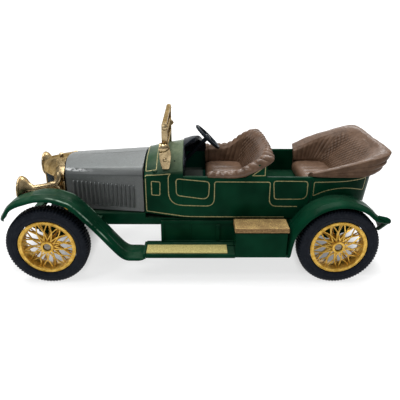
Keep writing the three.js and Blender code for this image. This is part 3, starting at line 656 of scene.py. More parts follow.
def make_door_details():
    lines = Solid()
    gap_x = 26.15
    strip = [(-0.09, -0.09), (0.09, -0.09), (0.09, 0.1), (-0.09, 0.1)]
    path = [(gap_x, 0.05 - side_y(gap_x, z), z) for z in (17.2, 19, 21, 23.2)]
    lines.loft([[(x + dx, y + dy, z) for dx, dy in strip] for x, y, z in path]).mirror()
    lines.lathe([(0, 0), (0.2, 0), (0.2, 0.25), (0, 0.25)], (-4.35, -7.7, arch_z(-4.35, 7.7) - 0.2),
                (0, -0.55, 0.83), 12)
    lines.make("door_shut_lines", GROOVE)

    edges = Solid()
    for side in (-1, 1):
        edges.tube([(26.7, side * 10.93, z) for z in (17.0, 18, 20, 22, 23.3)], 0.16, 8)
        handle = [(-9.2, 9.2, 24.55), (-9.0, 9.75, 24.6), (-8.6, 9.8, 24.55), (-8.2, 9.5, 24.7)]
        edges.tube(spline([(x, side * y, z) for x, y, z in handle], 5), 0.2, 8)
    edges.make("door_edge_beads", GREEN)


def fillet(points, radius, closed=True, steps=6):
    """Rounds the corners of an outline; a point may carry its own radius as a third number."""
    result, count = [], len(points)
    for k, point in enumerate(points):
        here = Vector(point[:2])
        r = point[2] if len(point) > 2 else radius
        if not closed and k in (0, count - 1):
            result.append(tuple(here))
            continue
        back, ahead = Vector(points[k - 1][:2]) - here, Vector(points[(k + 1) % count][:2]) - here
        reach = min(r, back.length * 0.48, ahead.length * 0.48)
        a, b = here + back.normalized() * reach, here + ahead.normalized() * reach
        for i in range(steps + 1):
            t = i / steps
            result.append(tuple(a.lerp(here, t).lerp(here.lerp(b, t), t)))
    return result


def dense(points, closed, step=0.5):
    """Adds points along an outline, so that a painted line can follow a curved surface."""
    result = []
    pairs = list(zip(points, points[1:] + points[:1])) if closed else list(zip(points, points[1:]))
    for a, b in pairs:
        parts = max(1, int((Vector(b) - Vector(a)).length / step))
        result += [tuple(Vector(a).lerp(Vector(b), i / parts)) for i in range(parts)]
    return result if closed else result + [points[-1]]


def ribbon(solid, spots, closed, width=0.19, lift=0.03, depth=0.12):
    """A thin painted line: spots are (point, outward normal) pairs on the surface."""
    rings = []
    for k, (point, normal) in enumerate(spots):
        before, after = neighbours(spots, k, closed)
        across = (after[0] - before[0]).cross(normal).normalized() * (width / 2)
        rings.append([point + across + normal * lift, point - across + normal * lift,
                      point - across - normal * depth, point + across - normal * depth])
    solid.loft(rings, closed=closed)


def side_spot(x, z, step=0.1):
    """A point of the body's left side with its outward normal."""
    here = Vector((x, -side_y(x, z), z))
    dx = Vector((x + step, -side_y(x + step, z), z)) - here
    dz = Vector((x, -side_y(x, z - step), z - step)) - here
    return here, dz.cross(dx).normalized() * (-1 if dz.cross(dx).y > 0 else 1)


def arch_spot(x, y, step=0.05):
    """A point of the scuttle's top with its upward normal."""
    here = Vector((x, y, arch_z(x, y)))
    dx = Vector((x + step, y, arch_z(x + step, y))) - here
    dy = Vector((x, y + step, arch_z(x, y + step))) - here
    return here, dx.cross(dy).normalized()


def make_stripes():
    s = Solid()
    closed_lines = [
        ([(-4.0, 23.25), (3.5, 22.65), (3.35, 18.35, 1.6), (-3.9, 19.2)], 0.9),
        ([(-9.5, 22.45), (-7.55, 22.35), (-7.65, 19.1), (-9.5, 19.15)], 0.3),
        ([(17.85, 22.85), (25.5, 22.8), (25.6, 18.5, 1.6), (18.25, 18.45)], 0.7),
        ([(26.95, 22.6), (34.2, 22.75), (39.3, 23.0), (38.9, 20.0), (36.2, 20.9, 2), (33, 21.25, 2),
          (29.6, 20.6, 2), (26.95, 19.3)], 0.3),
    ]
    for points, radius in closed_lines:
        ribbon(s, [side_spot(x, z) for x, z in dense(fillet(points, radius), True)], True)
    panel = fillet([
        (-5.2, 24.35), (-10.8, 23.7), (-10.8, 15.1), (-2.0, 14.0, 1), (20.8, 14.0)], 0.25, False)
    door = fillet([
        (-5.2, 24.35), (-5.7, 23.6, 0.5), (-5.7, 16.8, 3.6), (4.65, 16.7, 1.9), (4.65, 22.65, 0.5),
        (17.1, 22.6, 0.5), (17.15, 16.7, 1.9), (23.6, 16.65)], 1, False)
    for line in (panel, door):
        ribbon(s, [side_spot(x, z) for x, z in dense(line, False)], False)
    fin = fillet([(12.95, 24.1), (15.75, 26.35), (15.8, 24.15)], 0.15)
    ribbon(s, [(Vector((x, -BODY_HALF, z)), Vector((0, -1, 0))) for x, z in dense(fin, True)], True)
    s.mirror()
    loop = fillet([(-10.75, -8.9), (-10.75, 8.9), (-8.35, 9.2), (-8.35, -9.2)], 0.3)
    ribbon(s, [arch_spot(x, y) for x, y in dense(loop, True, 0.4)], True)
    s.make("pinstripes", STRIPE, sharp=60)


# ---- bonnet and radiator ---------------------------------------------------------------------
BONNET_FRONT, BONNET_REAR, BONNET_WALL = -29.2, -11.4, 1.0
LEFT_SWELL, LEFT_RISE = 0.55, 0.15      # the left shoulder is fuller and higher than the right
# (half width, height) at the front and at the rear, from the foot of a side to the crest
BONNET_SECTION = [
    ((8.1, 15.0), (10.1, 14.9)), ((8.0, 22.9), (10.0, 23.4)), ((5.95, 24.3), (7.6, 25.0)),
    ((2.9, 24.9), (3.6, 25.9)), ((0, 25.2), (0, 26.35))]


def bonnet_half(x, inset=0.0):
    """The right half of the bonnet's section, from its foot to the crest."""
    t = (x - BONNET_FRONT) / (BONNET_REAR - BONNET_FRONT)
    foot, side, shoulder, top, crest = [Vector(a).lerp(Vector(b), t) for a, b in BONNET_SECTION]
    line = fillet([foot, (*side, 0.6), (*shoulder, 0.35), (*top, 1.6), crest], 0.5, False, 5)
    return [(max(y - inset, 0), z - (inset if z > 15.5 else 0)) for y, z in line]


def bonnet_ring(x, inset):
    outer, inner = bonnet_half(x, inset), bonnet_half(x, inset + BONNET_WALL)
    around = outer + [(-y, z) for y, z in outer[-2::-1]]
    within = [(-y, z) for y, z in inner] + inner[-2::-1]
    ring = []
    for y, z in around + within:
        share = clamp(-y / 5) * clamp(z - 23)
        ring.append((raked(x, z), y - LEFT_SWELL * share, z + LEFT_RISE * share))
    return ring


def raked(x, z):
    """The joint of bonnet and radiator leans forward at the top."""
    lean = 0.15 * clamp((z - 22.5) / 1.5) + 0.8 * clamp((z - 24.2) / 0.8)
    return x - lean * clamp((-27 - x) / 2)


def make_bonnet():
    s = Solid()
    rounding = [(0, 0.12), (0.1, 0.03), (0.25, 0)]
    stops = [(BONNET_FRONT + d, inset) for d, inset in rounding] + [(-20, 0)]
    stops += [(BONNET_REAR - d, inset) for d, inset in reversed(rounding)]
    s.loft([bonnet_ring(x, inset) for x, inset in stops])
    s.make("bonnet_shell", SILVER, stands_for="bonnet", sharp=40)

    vents = Solid()
    count = 15
    profile = [(0, -0.1), (0.08, 0.12), (0.26, 0.5), (0.42, 0.58), (0.54, 0.42), (0.68, -0.1)]
    swells = [(0, 0.05), (0.03, 0.6), (0.08, 1), (0.5, 1), (0.92, 1), (0.97, 0.6), (1, 0.05)]
    for k in range(count):
        t = k / (count - 1)
        x = lerp(-27.45, -13.7, t)
        low, high = lerp(16.2, 15.8, t), lerp(21.9, 21.3, t)
        rings = []
        for share, swell in swells:
            z = lerp(low, high, share)
            half = lerp(8.1, 10.1, (x - BONNET_FRONT) / (BONNET_REAR - BONNET_FRONT)) - 0.013 * (z - 15)
            rings.append([(x - 0.3 + u, -(half + v * swell + 0.11 * u), z) for u, v in profile])
        vents.loft(rings)
    vents.mirror().make("bonnet_louvres", SILVER, sharp=50)

    seam = Solid()
    hinge = 7      # the point of bonnet_half where the shoulder's rounding starts
    for side in (-1, 1):
        spots = [(x, *bonnet_half(x)[hinge]) for x in (-28.9, -24, -18, -11.7)]
        seam.tube([(x, side * (y + 0.02), z - 0.35) for x, y, z in spots], 0.06, 6)
    seam.tube([(x, 0, bonnet_half(x)[-1][1] - 0.06) for x in (-29, -20, -11.6)], 0.12, 8)
    seam.make("bonnet_hinge_line", SILVER)


def radiator_section(x, half, shoulder, crown, bottom):
    """A section of the plated shell, raked to meet the bonnet."""
    line = fillet([
        (half, bottom), (half - 0.05, max(shoulder - 1.35, bottom + 0.1), 0.5),
        (half * 0.75, shoulder, 0.5), (half * 0.36, lerp(shoulder, crown, 0.7), 0.8), (0, crown)],
                  0.5, False, 4)
    return [(raked(x, z), y, z) for y, z in line] + [(raked(x, z), -y, z) for y, z in line[-2::-1]]


def make_radiator():
    s = Solid()
    # x, half width, shoulder, crown and bottom of the shell, then of the peak that juts forward
    shell = [
        (-29.42, 7.5, 23.8, 24.7, 14.9), (-29.5, 8.1, 24.25, 25.15, 14.9),
        (-30.6, 7.85, 24.2, 25.1, 14.9), (-31.6, 7.35, 24.1, 25.1, 14.95),
        (-31.75, 7.15, 24.0, 25.1, 15.0)]
    peak = [
        (-31.7, 7.15, 24.0, 25.1, 22.5), (-33.1, 5.2, 23.7, 25.0, 22.1),
        (-34.7, 2.9, 23.3, 24.35, 21.65), (-36.1, 0.9, 22.8, 23.6, 21.3),
        (-36.45, 0.35, 22.5, 23.1, 21.25)]
    for rows in (shell, peak):
        s.loft([radiator_section(*row) for row in rows])
    prow = [(-31.4, -7.0), (-36.3, -0.2), (-36.3, 0.2), (-31.4, 7.0)]
    s.loft([[(x, y, z) for x, y in prow] for z in (14.95, 15.8)])
    s.tube([(-36.1, 0, z) for z in (15.2, 17, 19, 21.4)], 0.32, 10)
    brow = [(-31.65, 6.9, 22.55), (-33.1, 5.05, 22.15), (-34.7, 2.7, 21.7), (-36.3, 0, 21.3)]
    for side in (-1, 1):
        s.tube([(-31.75, side * 6.75, z) for z in (15.2, 18, 22.6)], 0.38, 10)
        s.tube([(x, side * y, z) for x, y, z in brow], 0.26, 10)
    cap = [
        (0, 0), (0.6, 0), (0.6, 0.2), (0.42, 0.3), (0.42, 0.5), (0.52, 0.56), (0.5, 0.78), (0.3, 0.92),
        (0, 0.95)]
    s.lathe(cap, (-31.9, 0, 24.8), (0, 0, 1), 28)
    s.make("radiator_surround", GOLD, stands_for="radiator_shell", sharp=36)

    core = Solid()
    foot = [(-31.5, -6.5), (-36.05, -0.15), (-36.05, 0.15), (-31.5, 6.5)]
    core.loft([[(x, y, 15.7) for x, y in foot], [(x, y, 22.7 if abs(y) > 1 else 21.35) for x, y in foot]])
    for side in (-1, 1):
        for k in range(9):
            t = (k + 0.7) / 9.6
            x, y = lerp(-31.65, -35.95, t), side * lerp(6.5, 0.2, t)
            core.tube([(x, y, z) for z in (15.7, 18, lerp(22.6, 21.3, t))], 0.14, 6)
        for k in range(8):
            z = lerp(16.2, 21.1, k / 7)
            core.tube([(-31.7, side * 6.45, z), (-35.9, side * 0.3, z)], 0.1, 6)
    core.make("radiator_honeycomb", CORE, stands_for="radiator_core")


LAMP_X, LAMP_Y, LAMP_Z = -39.3, 9.0, 20.0


def make_headlamps():
    bell = [
        (0, 0.0), (0.9, 0.05), (1.7, 0.2), (2.3, 0.45), (2.42, 0.55), (2.5, 0.15), (2.66, 0.0),
        (2.86, 0.0), (3.0, 0.14), (3.02, 0.36), (2.9, 0.52), (2.8, 0.6), (2.86, 0.72), (2.78, 0.86),
        (2.6, 1.08), (2.32, 1.36), (1.95, 1.66), (1.58, 1.98), (1.26, 2.36), (1.02, 2.78), (0.86, 3.2),
        (0.8, 3.7), (0, 3.7)]
    # the arm's points are x, distance from the centre plane, and height over the lamp's centre
    arm = [(-36.4, LAMP_Y, 0.25), (-34.5, LAMP_Y, 0.6), (-32.8, LAMP_Y, 0.9), (-31.7, LAMP_Y, 1.1)]
    rise = spline([
        (-32.1, LAMP_Y, 1.05), (-31.3, 8.85, 1.3), (-30.7, 8.6, 2.0), (-30.5, 8.3, 3.0),
        (-30.5, 7.9, 3.6)], 5)
    drop = spline([(-31.6, 8.95, 1.0), (-31.0, 8.6, 0.4), (-30.6, 8.25, -0.8), (-30.6, 8.0, -2.0)], 5)
    bars = [(arm, [0.66, 0.62, 0.66, 0.78], 16), (rise, taper(0.8, 0.52, rise), 14),
            (drop, taper(0.72, 0.52, drop), 14)]
    for side, name in ((-1, "left"), (1, "right")):
        s = Solid()
        s.lathe(bell, (LAMP_X, side * LAMP_Y, LAMP_Z), (1, 0, 0), 40)
        for path, radii, sides in bars:
            s.tube([(x, side * y, LAMP_Z + z) for x, y, z in path], radii, sides)
        s.make(f"{name}_lamp_bell", GOLD, stands_for=f"{name}_headlamp", sharp=42)


# ---- windscreen ------------------------------------------------------------------------------
SCREEN_X, SCREEN_HALF, SCREEN_TOP = -6.35, 9.8, 35.6


def make_windscreen():
    s = Solid()
    front = spline([
        (-6.95, 35.2), (-7.0, 33), (-7.0, 31.2), (-7.3, 29.8), (-7.6, 28.4), (-7.45, 27), (-7.2, 25.9),
        (-7.0, 25.3)], 5)
    back = spline([
        (-5.5, 25.3), (-5.35, 25.9), (-5.15, 27.2), (-5.05, 28.5), (-5.3, 29.8), (-5.65, 31.2),
        (-5.65, 33), (-5.7, 35.2)], 5)
    post = front + back + [(-5.85, 35.5), (-6.1, SCREEN_TOP), (-6.55, SCREEN_TOP), (-6.8, 35.5)]
    lamp = [
        (0, 0), (0.75, 0.05), (0.8, 0.2), (1.0, 0.1), (1.08, 0.3), (1.08, 0.55), (0.95, 0.7),
        (0.98, 1.0), (0.85, 1.5), (0.55, 1.95), (0.25, 2.2), (0, 2.3)]
    for side in (-1, 1):
        widest = -5.05 if side < 0 else -5.75      # the right post is the slimmer one
        spot = lambda x, y, z: (min(x, widest), side * (y + 0.25 * clamp((28.4 - z) / 3)), z)
        s.loft([[spot(lerp(x, SCREEN_X, shrink), y, z) for x, z in post]
                for y, shrink in ((9.0, 0.16), (9.12, 0), (9.68, 0), (SCREEN_HALF, 0.16))])
        s.lathe(lamp, (-7.5, side * 11.15, 30.5), (1, 0, 0), 24)
        s.tube([(-6.4, side * y, 30.4) for y in (9.5, 10.2, 11.1)], [0.5, 0.42, 0.5], 10)
        s.lathe([(0, 0), (0.5, 0), (0.5, 0.2), (0.28, 0.42), (0, 0.5)], (SCREEN_X, side * 9.78, 27.4),
                (0, side, 0), 14)
        s.lathe([(0, 0), (0.62, 0), (0.62, 0.2), (0.4, 0.42), (0, 0.5)], (-6.3, side * 9.75, 34.6),
                (0, side, 0), 16)
    for low, high, depth in ((34.8, SCREEN_TOP - 0.02, 0.5), (32.0, 32.5, 0.4), (28.8, 29.4, 0.5)):
        near, far = SCREEN_X - depth, SCREEN_X + depth
        bar = fillet([(near, low), (far, low), (far, high), (near, high)], 0.16, True, 3)
        s.prism(bar, -9.3, 9.3)
    s.make("windscreen_bars", GOLD, stands_for="windscreen_frame", sharp=42)


# ---- dashboard and steering ------------------------------------------------------------------
WHEEL_CENTRE = Vector((3.5, 5, 28.4))
COLUMN_AXIS = Vector((0.70, 0.075, 0.71)).normalized()


def make_dashboard():
    s = Solid()
    front, reach = COWL_X + 0.02, 9.3
    rings = []
    for i in range(61):
        y = lerp(-reach, reach, i / 60)
        rear = -2.2 + 2.6 * ease((y + 3.4) / 3.4) + 2.4 * clamp(y / reach)
        thick = 0.5 + 0.75 * ease((y + 2.5) / 2)
        arch = max(0.0, 1 - (y / 7.5) ** 2)
        top = lambda x: arch_z(COWL_X, y) + 0.25 + 0.9 * arch * ease((x + 2.8) / 3.0)
        ring = [(x, top(x)) for x in (lerp(front, rear, t) for t in (0, 0.2, 0.4, 0.6, 0.8, 0.96))]
        ring += [
            (rear, top(rear) - 0.12), (rear + 0.02, top(rear) - thick + 0.15),
            (rear - 0.15, top(rear) - thick), (lerp(front, rear, 0.3), top(-2) - thick - 0.15),
            (front, top(-2) - thick - 0.3)]
        rings.append([(x, y, z) for x, z in ring])
    s.loft(rings)
    cheek = [(front, 23.4), (3.1, 23.4), (3.15, 25.5), (2.9, 26.15), (front, 26.0)]
    s.prism(cheek, 8.9, 9.35)
    face = [(y, arch_z(COWL_X, y) - 0.6) for y in (lerp(-8.6, 8.6, i / 24) for i in range(25))]
    face = [(-8.6, 22.8)] + face + [(8.6, 22.8)]
    s.loft([[(x, y, z) for y, z in face] for x in (-2.42, -2.15)])
    s.make("dash_hood", BLACK, stands_for="dashboard", sharp=40)

    dials = Solid()
    for y, radius in ((-4.6, 1.25), (-1.6, 0.9), (0.9, 0.9)):
        bezel = [
            (0, 0), (radius - 0.3, 0), (radius - 0.2, 0.22), (radius, 0.22), (radius, -0.2), (0, -0.2)]
        dials.lathe(bezel, (-2.1, y, 24.9), (1, 0, 0), 28)
    dials.make("dash_dials", BLACK)


def make_steering():
    column = Solid()
    reach = [WHEEL_CENTRE - COLUMN_AXIS * d for d in (0.55, 1.2, 2.0, 6.0, 13.0)]
    column.tube(reach, [0.62, 0.56, 0.5, 0.5, 0.5], 16)
    column.make("steering_post", BLACK, stands_for="steering_column")

    wheel = Solid()
    side = COLUMN_AXIS.orthogonal().normalized()
    other = COLUMN_AXIS.cross(side)
    spot = lambda angle, radius, lift: (WHEEL_CENTRE + COLUMN_AXIS * lift
                                        + (side * math.cos(angle) + other * math.sin(angle)) * radius)
    turns, rim_radius, rim_thick = 64, 3.72, 0.38
    bends = [2 * math.pi * j / 12 for j in range(12)]
    angles = [2 * math.pi * k / turns for k in range(turns)]
    wheel.loft([[spot(angle, rim_radius + rim_thick * math.cos(b), rim_thick * math.sin(b)) for b in bends]
                for angle in angles], closed=True)
    spoke = [(0.5, -0.1), (1.6, -0.12), (2.8, -0.05), (3.6, 0)]
    for k in range(4):
        angle = math.pi / 4 + k * math.pi / 2
        wheel.tube([spot(angle, r, lift) for r, lift in spoke], [0.34, 0.24, 0.22, 0.3], 10)
    wheel.lathe([(0, -0.5), (0.85, -0.45), (0.9, 0.1), (0.7, 0.32), (0.35, 0.42), (0, 0.45)],
                WHEEL_CENTRE, COLUMN_AXIS, 24)
    wheel.make("steering_rim", BLACK, stands_for="steering_wheel")


# ---- seats and hood --------------------------------------------------------------------------
LEAN_RISE, LEAN_FORWARD, REAR_LIMIT = 0.04, 0.045, 43.25


def leaning(x, y, z):
    """The seats and hood sit a little high, and a little forward, on the car's right."""
    share = clamp((z - 23.5) / 4)
    rise = LEAN_RISE if y < 0 else lerp(LEAN_RISE, 0.012, clamp((x - 30) / 6))
    return min(x - LEAN_FORWARD * y * share, REAR_LIMIT), y, z + rise * y * share


def distances(path):
    """How far along a path each of its points is."""
    total, result = 0.0, [0.0]
    for a, b in zip(path, path[1:]):
        total += (Vector(b) - Vector(a)).length
        result.append(total)
    return result


def quilt(along_mm, up_mm, pitch=1.3):
    """Height 0 to 1 of buttoned diamonds, and 0 in the seams between them."""
    a = math.sin(math.pi * (along_mm / pitch + up_mm / (pitch * 1.15)))
    b = math.sin(math.pi * (along_mm / pitch - up_mm / (pitch * 1.15)))
    return (abs(a) * abs(b)) ** 0.6


def pleat(along_mm, pitch):
    """Height 0 to 1 of upright pleats."""
    return abs(math.sin(math.pi * along_mm / pitch)) ** 0.55


def make_tub_seat(stations, quilt_from, depth, arm_pitch, roll_pitch, roll, spans=18):
    """A moulded seat's padded wall: each station holds, from the middle of the back forwards, the
    inner foot, inner top, crown, outer top and outer foot of one arm; the other arm mirrors it."""
    curve = spline([tuple(c for point in station for c in point) for station in stations], spans)
    other_arm = [tuple(-c if i % 3 == 1 else c for i, c in enumerate(row)) for row in reversed(curve[1:])]
    rows = [[Vector(row[i:i + 3]) for i in range(0, len(row), 3)] for row in other_arm + curve]
    run = distances([row[1] for row in rows])
    middle = run[len(run) // 2]
    steps = 46
    rings = []
    for (foot, top, crown, outer, hem), where in zip(rows, run):
        offset = where - middle
        back = ease((quilt_from - abs(offset)) / 1.6)
        inward = Vector((top.x - outer.x, top.y - outer.y, 0)).normalized()
        normal = (inward + Vector((0, 0, 0.25))).normalized()
        height = (top - foot).length
        ring = []
        for i in range(steps + 1):
            t = i / steps
            swell = math.sin(math.pi * clamp(t * 1.02)) ** 0.6
            pattern = lerp(lerp(1, pleat(offset, arm_pitch), 0.6), quilt(offset, t * height), back)
            fade = ease(t / 0.12) * ease((0.98 - t) / 0.2)
            bulge = normal * (0.35 * swell + depth * pattern * fade)
            # the second number is the tone: low in the quilting's seams and between pleats, where the brown
            # gets painted shade
            ring.append((foot.lerp(top, t) + bulge, 1 - fade * (1 - pattern) ** 1.4 * 1.35))
        bumps = pleat(offset, roll_pitch)
        arc = spline([tuple(point) for point in (ring[-1][0], crown, outer, hem)], 7)[1:]
        centre = (top + outer + hem) / 3
        for k, point in enumerate(arc):
            away = (Vector(point) - centre).normalized()
            share = math.sin(math.pi * clamp((k + 1) / len(arc)))
            swollen = Vector(point) + away * roll * (bumps - 0.6) * share
            # the tone falls between the roll's bumps, for painted shade there
            ring.append((swollen, 1 - 0.5 * share * (1 - bumps) ** 2))
        ring.append((hem.lerp(foot, 0.35) + Vector((0, 0, -0.1)), 0.6))
        ring.append((hem.lerp(foot, 0.8) + Vector((0, 0, -0.25)), 0.5))
        rings.append(ring)
    s = Solid().pad(rings)
    s.verts = [leaning(*v) for v in s.verts]
    return s


def make_cushion(s, x0, x1, half, low, top, rise, pitch):
    """The padded bench between the arms, crowned, with its front edge rolled over."""
    across, deep = 60, 34
    rings = []
    for i in range(across + 1):
        y = lerp(-half, half, i / across)
        ring = []
        for j in range(deep + 1):
            t = j / deep
            edge = clamp(t / 0.16)
            crown = rise * math.sqrt(max(0, 1 - (2 * t - 1) ** 4)) * (1 - (y / half) ** 6 * 0.5)
            pleated = ease((t - 0.1) / 0.12)
            z = lerp(top - 1.1, top, math.sqrt(1 - (1 - edge) ** 2)) + crown
            # the tone falls in the pleats' grooves, for painted shade there
            ring.append(((lerp(x0, x1, t), y, z + 0.1 * pleat(y, pitch) * pleated),
                         1 - 0.7 * (1 - pleat(y, pitch)) ** 2 * pleated))
        rings.append(ring + [((x1, y, low), 0.6), ((x0 + 0.25, y, low), 0.6)])
    s.pad(rings)


def make_front_seat():
    back_run = [
        [(12.1, 0, 20.4), (16.2, 0, 28.9), (16.9, 0, 29.3), (17.4, 0, 28.8), (16.6, 0, 27.4)],
        [(12.1, 3, 20.4), (16.2, 3.2, 28.9), (16.9, 3.4, 29.3), (17.45, 3.7, 28.8), (16.6, 3.6, 27.4)],
        [(12, 6, 20.4), (15.3, 6.7, 28.9), (16.1, 7.4, 29.25), (17.2, 8.1, 28.7), (16.6, 7.9, 27.3)],
        [(11.3, 7.6, 20.4), (14.2, 8.9, 28.1), (15, 9.7, 28.6), (16.9, 10.6, 28.2), (16.3, 10.5, 27)],
        [(9.9, 8.1, 20.5), (12, 9.5, 26.7), (12.4, 10.3, 27.05), (13.6, 11.05, 26.3), (13.5, 11.15, 25.4)],
        [(8, 8.3, 20.6), (9.3, 9.5, 25), (9.5, 10.3, 25.3), (10, 11.05, 24.75), (10.1, 11.15, 24)],
        [(5.5, 8.3, 20.6), (5.6, 9.4, 24.6), (5.7, 10.2, 24.9), (5.8, 11, 24.45), (5.8, 11.1, 23.9)],
        [(3.4, 8.3, 20.6), (3.35, 9.3, 24.5), (3.3, 10.2, 24.8), (3.3, 10.9, 24.4), (3.35, 11, 23.9)],
        [(3, 8.5, 20.8), (2.95, 9.4, 24.2), (2.9, 9.9, 24.5), (2.9, 10.5, 24.3), (3, 10.6, 24)],
    ]
    s = make_tub_seat(back_run, 10.0, depth=0.36, arm_pitch=1.9, roll_pitch=1.45, roll=0.5)
    make_cushion(s, 3.0, 12.8, 8.7, 18.4, 20.7, 0.5, 2.6)
    for side in (-1, 1):
        s.box(3.1, 14.8, side * 9.45, side * 8.9, 18.4, 21.5)
    s.box(12.0, 14.85, -9.4, 9.4, 18.4, 20.5)
    s.make("front_bench", BROWN, stands_for="front_seat", sharp=60)


def make_rear_seat():
    back_run = [
        [(34, 0, 21.2), (41, 0, 29.1), (42.1, 0, 29.95), (43, 0, 29.85), (42.8, 0, 29.3)],
        [(34, 3, 21.2), (41, 3, 29.15), (42.1, 3.2, 30.05), (43.05, 3.6, 30), (42.8, 3.6, 29.4)],
        [(33.8, 5.8, 21.2), (40.6, 6.6, 29.2), (41.8, 7.5, 30.1), (43, 8.5, 30.1), (42.7, 8.4, 29.4)],
        [(32.8, 7.3, 21.2), (38.8, 9.2, 28.9), (40.3, 10.4, 29.8), (42.2, 11.3, 29.95),
         (41.9, 11.15, 29.2)],
        [(31.4, 7.7, 21.2), (36, 9.9, 27.7), (37.2, 11.3, 28.65), (39.9, 12.2, 29.25), (39.8, 12, 28.5)],
        [(30, 7.9, 21.2), (32.4, 9.7, 26.4), (33.2, 11.1, 27.35), (35.3, 12.1, 27.85), (35.2, 11.9, 27.1)],
        [(28.4, 8, 21.2), (29.3, 9.2, 25.2), (29.7, 10.8, 26.1), (30.8, 11.8, 26.35), (30.8, 11.6, 25.7)],
        [(26.8, 8, 21.2), (26.9, 8.9, 24.4), (27, 10.3, 25.15), (27.6, 11.3, 25.2), (27.6, 11.15, 24.7)],
        [(26.2, 8.2, 21.4), (26.15, 8.9, 24.2), (26.1, 10, 24.8), (26.3, 10.85, 24.8), (26.4, 10.8, 24.4)],
    ]
    s = make_tub_seat(back_run, 10.5, depth=0.26, arm_pitch=1.7, roll_pitch=3.2, roll=0.08)
    make_cushion(s, 26.0, 34.6, 8.2, 18.4, 20.9, 0.4, 2.2)
    for side in (-1, 1):
        s.box(26.3, 33.5, side * 9.3, side * 8.7, 18.4, 22.0)
    s.box(33.9, 36.4, -8.0, 8.0, 18.4, 21.0)
    s.make("rear_bench", BROWN, stands_for="rear_seat", sharp=60)


def make_hood():
    """The folded hood: a band round the tail, deeper and more creased towards the rear."""
    plan = spline([
        (26.3, 10.85), (27.6, 11.3), (30.8, 11.75), (35.3, 12.1), (39.2, 12.3), (40.9, 12.1),
        (42.1, 11.4), (42.75, 10.2), (43.0, 8.4), (43.05, 4), (43.05, 0)], 10)
    tops = [
        (26.3, 24.8), (27.6, 25.15), (30.8, 26.3), (35.3, 27.8), (40.0, 29.2), (42.1, 29.85),
        (43.05, 29.95)]
    widths = [(26.3, 0.7), (28.5, 1.6), (43, 1.9)]
    steps = 48
    path = [(x, -y) for x, y in plan] + list(reversed(plan[:-1]))
    run = distances(path)
    rings = []
    for k, (x, y) in enumerate(path):
        before, after = neighbours(path, k)
        outward = Vector((after[1] - before[1], before[0] - after[0])).normalized()
        rear = ease((x - 37.5) / 4.5)
        top, wide = along(tops, x)[0], along(widths, x)[0]
        low = min(lerp(24.0, 24.9, ease((x - 36) / 5)), top - 0.4)
        height = top - low
        tuck = lerp(0.55, 1.5, rear) * clamp(height / 4)
        wave = 0.25 * math.sin(run[k] * 0.35)
        ring = []
        for i in range(steps + 1):
            h = i / steps
            fold = abs(math.sin(math.pi * h * (3.2 + wave)))
            creased = ease((h - 0.12) / 0.2)
            crease = (fold ** 0.55 - 1) * creased * clamp(height / 3) * lerp(0.10, 0.34, rear)
            lip = 0.3 * (1 - ease(h / 0.1)) ** 2
            d = crease - tuck * h ** 1.3 - lip
            # the tone falls in the folds' creases, deeper towards the rear, for painted shade there
            tone = 1 - lerp(0.3, 0.95, rear) * (1 - fold) ** 3 * creased
            ring.append(((x + outward.x * d, y + outward.y * d, top - h * height), tone))
        foot = max(0.5, tuck + 0.3)
        for d, z in ((foot, low), (foot + wide, low), (foot + wide, lerp(low, top, 0.5)), (wide, top - 0.7),
                     (wide * 0.55, top - 0.5), (0.5, top - 0.25)):
            ring.append(((x - outward.x * d, y - outward.y * d, z), 0.9))
        rings.append(ring)
    s = Solid().pad(rings)
    s.verts = [leaning(*v) for v in s.verts]
    s.make("hood_folds", BROWN, stands_for="folded_hood", sharp=60)


# ---- wings and chassis -----------------------------------------------------------------------
AXLE_X, AXLE_Z = 32.5, 9.15
WING_INNER, WING_OUTER = 11.2, 17.1
# sections of the wings: share of the width from the body outwards, and height over the crown line
WING_LIP = [
    (1.0, -0.32), (0.99, -0.5), (0.965, -0.56), (0.94, -0.5), (0.9, -0.36), (0.8, -0.28), (0.5, -0.22),
    (0.1, -0.25), (0.02, -0.2), (0, 0)]
FRONT_SECTION = [
    (0, 0.36), (0.05, 0.46), (0.2, 0.52), (0.4, 0.55), (0.56, 0.53), (0.63, 0.50), (0.665, 0.58),
    (0.70, 0.60), (0.735, 0.55), (0.78, 0.44), (0.86, 0.36), (0.92, 0.24), (0.965, 0.06),
    (0.99, -0.12)] + WING_LIP
REAR_SECTION = [
    (0, 0.36), (0.05, 0.46), (0.16, 0.5), (0.28, 0.48), (0.34, 0.56), (0.385, 0.60), (0.43, 0.55),
    (0.5, 0.5), (0.62, 0.5), (0.68, 0.48), (0.72, 0.58), (0.76, 0.58), (0.8, 0.46), (0.88, 0.32),
    (0.95, 0.1), (0.985, -0.12)] + WING_LIP


def on_arch(angle, radius, axle_x):
    """A point round an axle, at an angle up from the tail's side."""
    turn = math.radians(angle)
    return axle_x + radius * math.cos(turn), AXLE_Z + radius * math.sin(turn)


def station(x, z, trim_inner=0, trim_outer=0, inner_x=None, inner_z=None):
    """One place along a wing; its inner edge may lie elsewhere than its outer one."""
    return x, z, trim_inner, trim_outer, *((x, z) if inner_x is None else (inner_x, inner_z))


def wing(solid, stations, section, per_span=5):
    """Sweeps a section along a left wing, thinner at both ends."""
    curve = spline([station(*row) for row in stations], per_span)
    rings = []
    for k, (x, z, trim_inner, trim_outer, inner_x, inner_z) in enumerate(curve):
        before, after = neighbours(curve, k)
        run = Vector((after[0] - before[0], after[1] - before[1])).normalized()
        inner, outer = WING_INNER + trim_inner, WING_OUTER - trim_outer
        thin = lerp(0.45, 1, ease(min(k, len(curve) - 1 - k) / 3))
        ring = []
        for share, lift in section:
            px, pz = lerp(inner_x, x, share), lerp(inner_z, z, share)
            ring.append((px - run.y * lift * thin, -lerp(inner, outer, share), pz + run.x * lift * thin))
        rings.append(ring)
    solid.loft(rings)


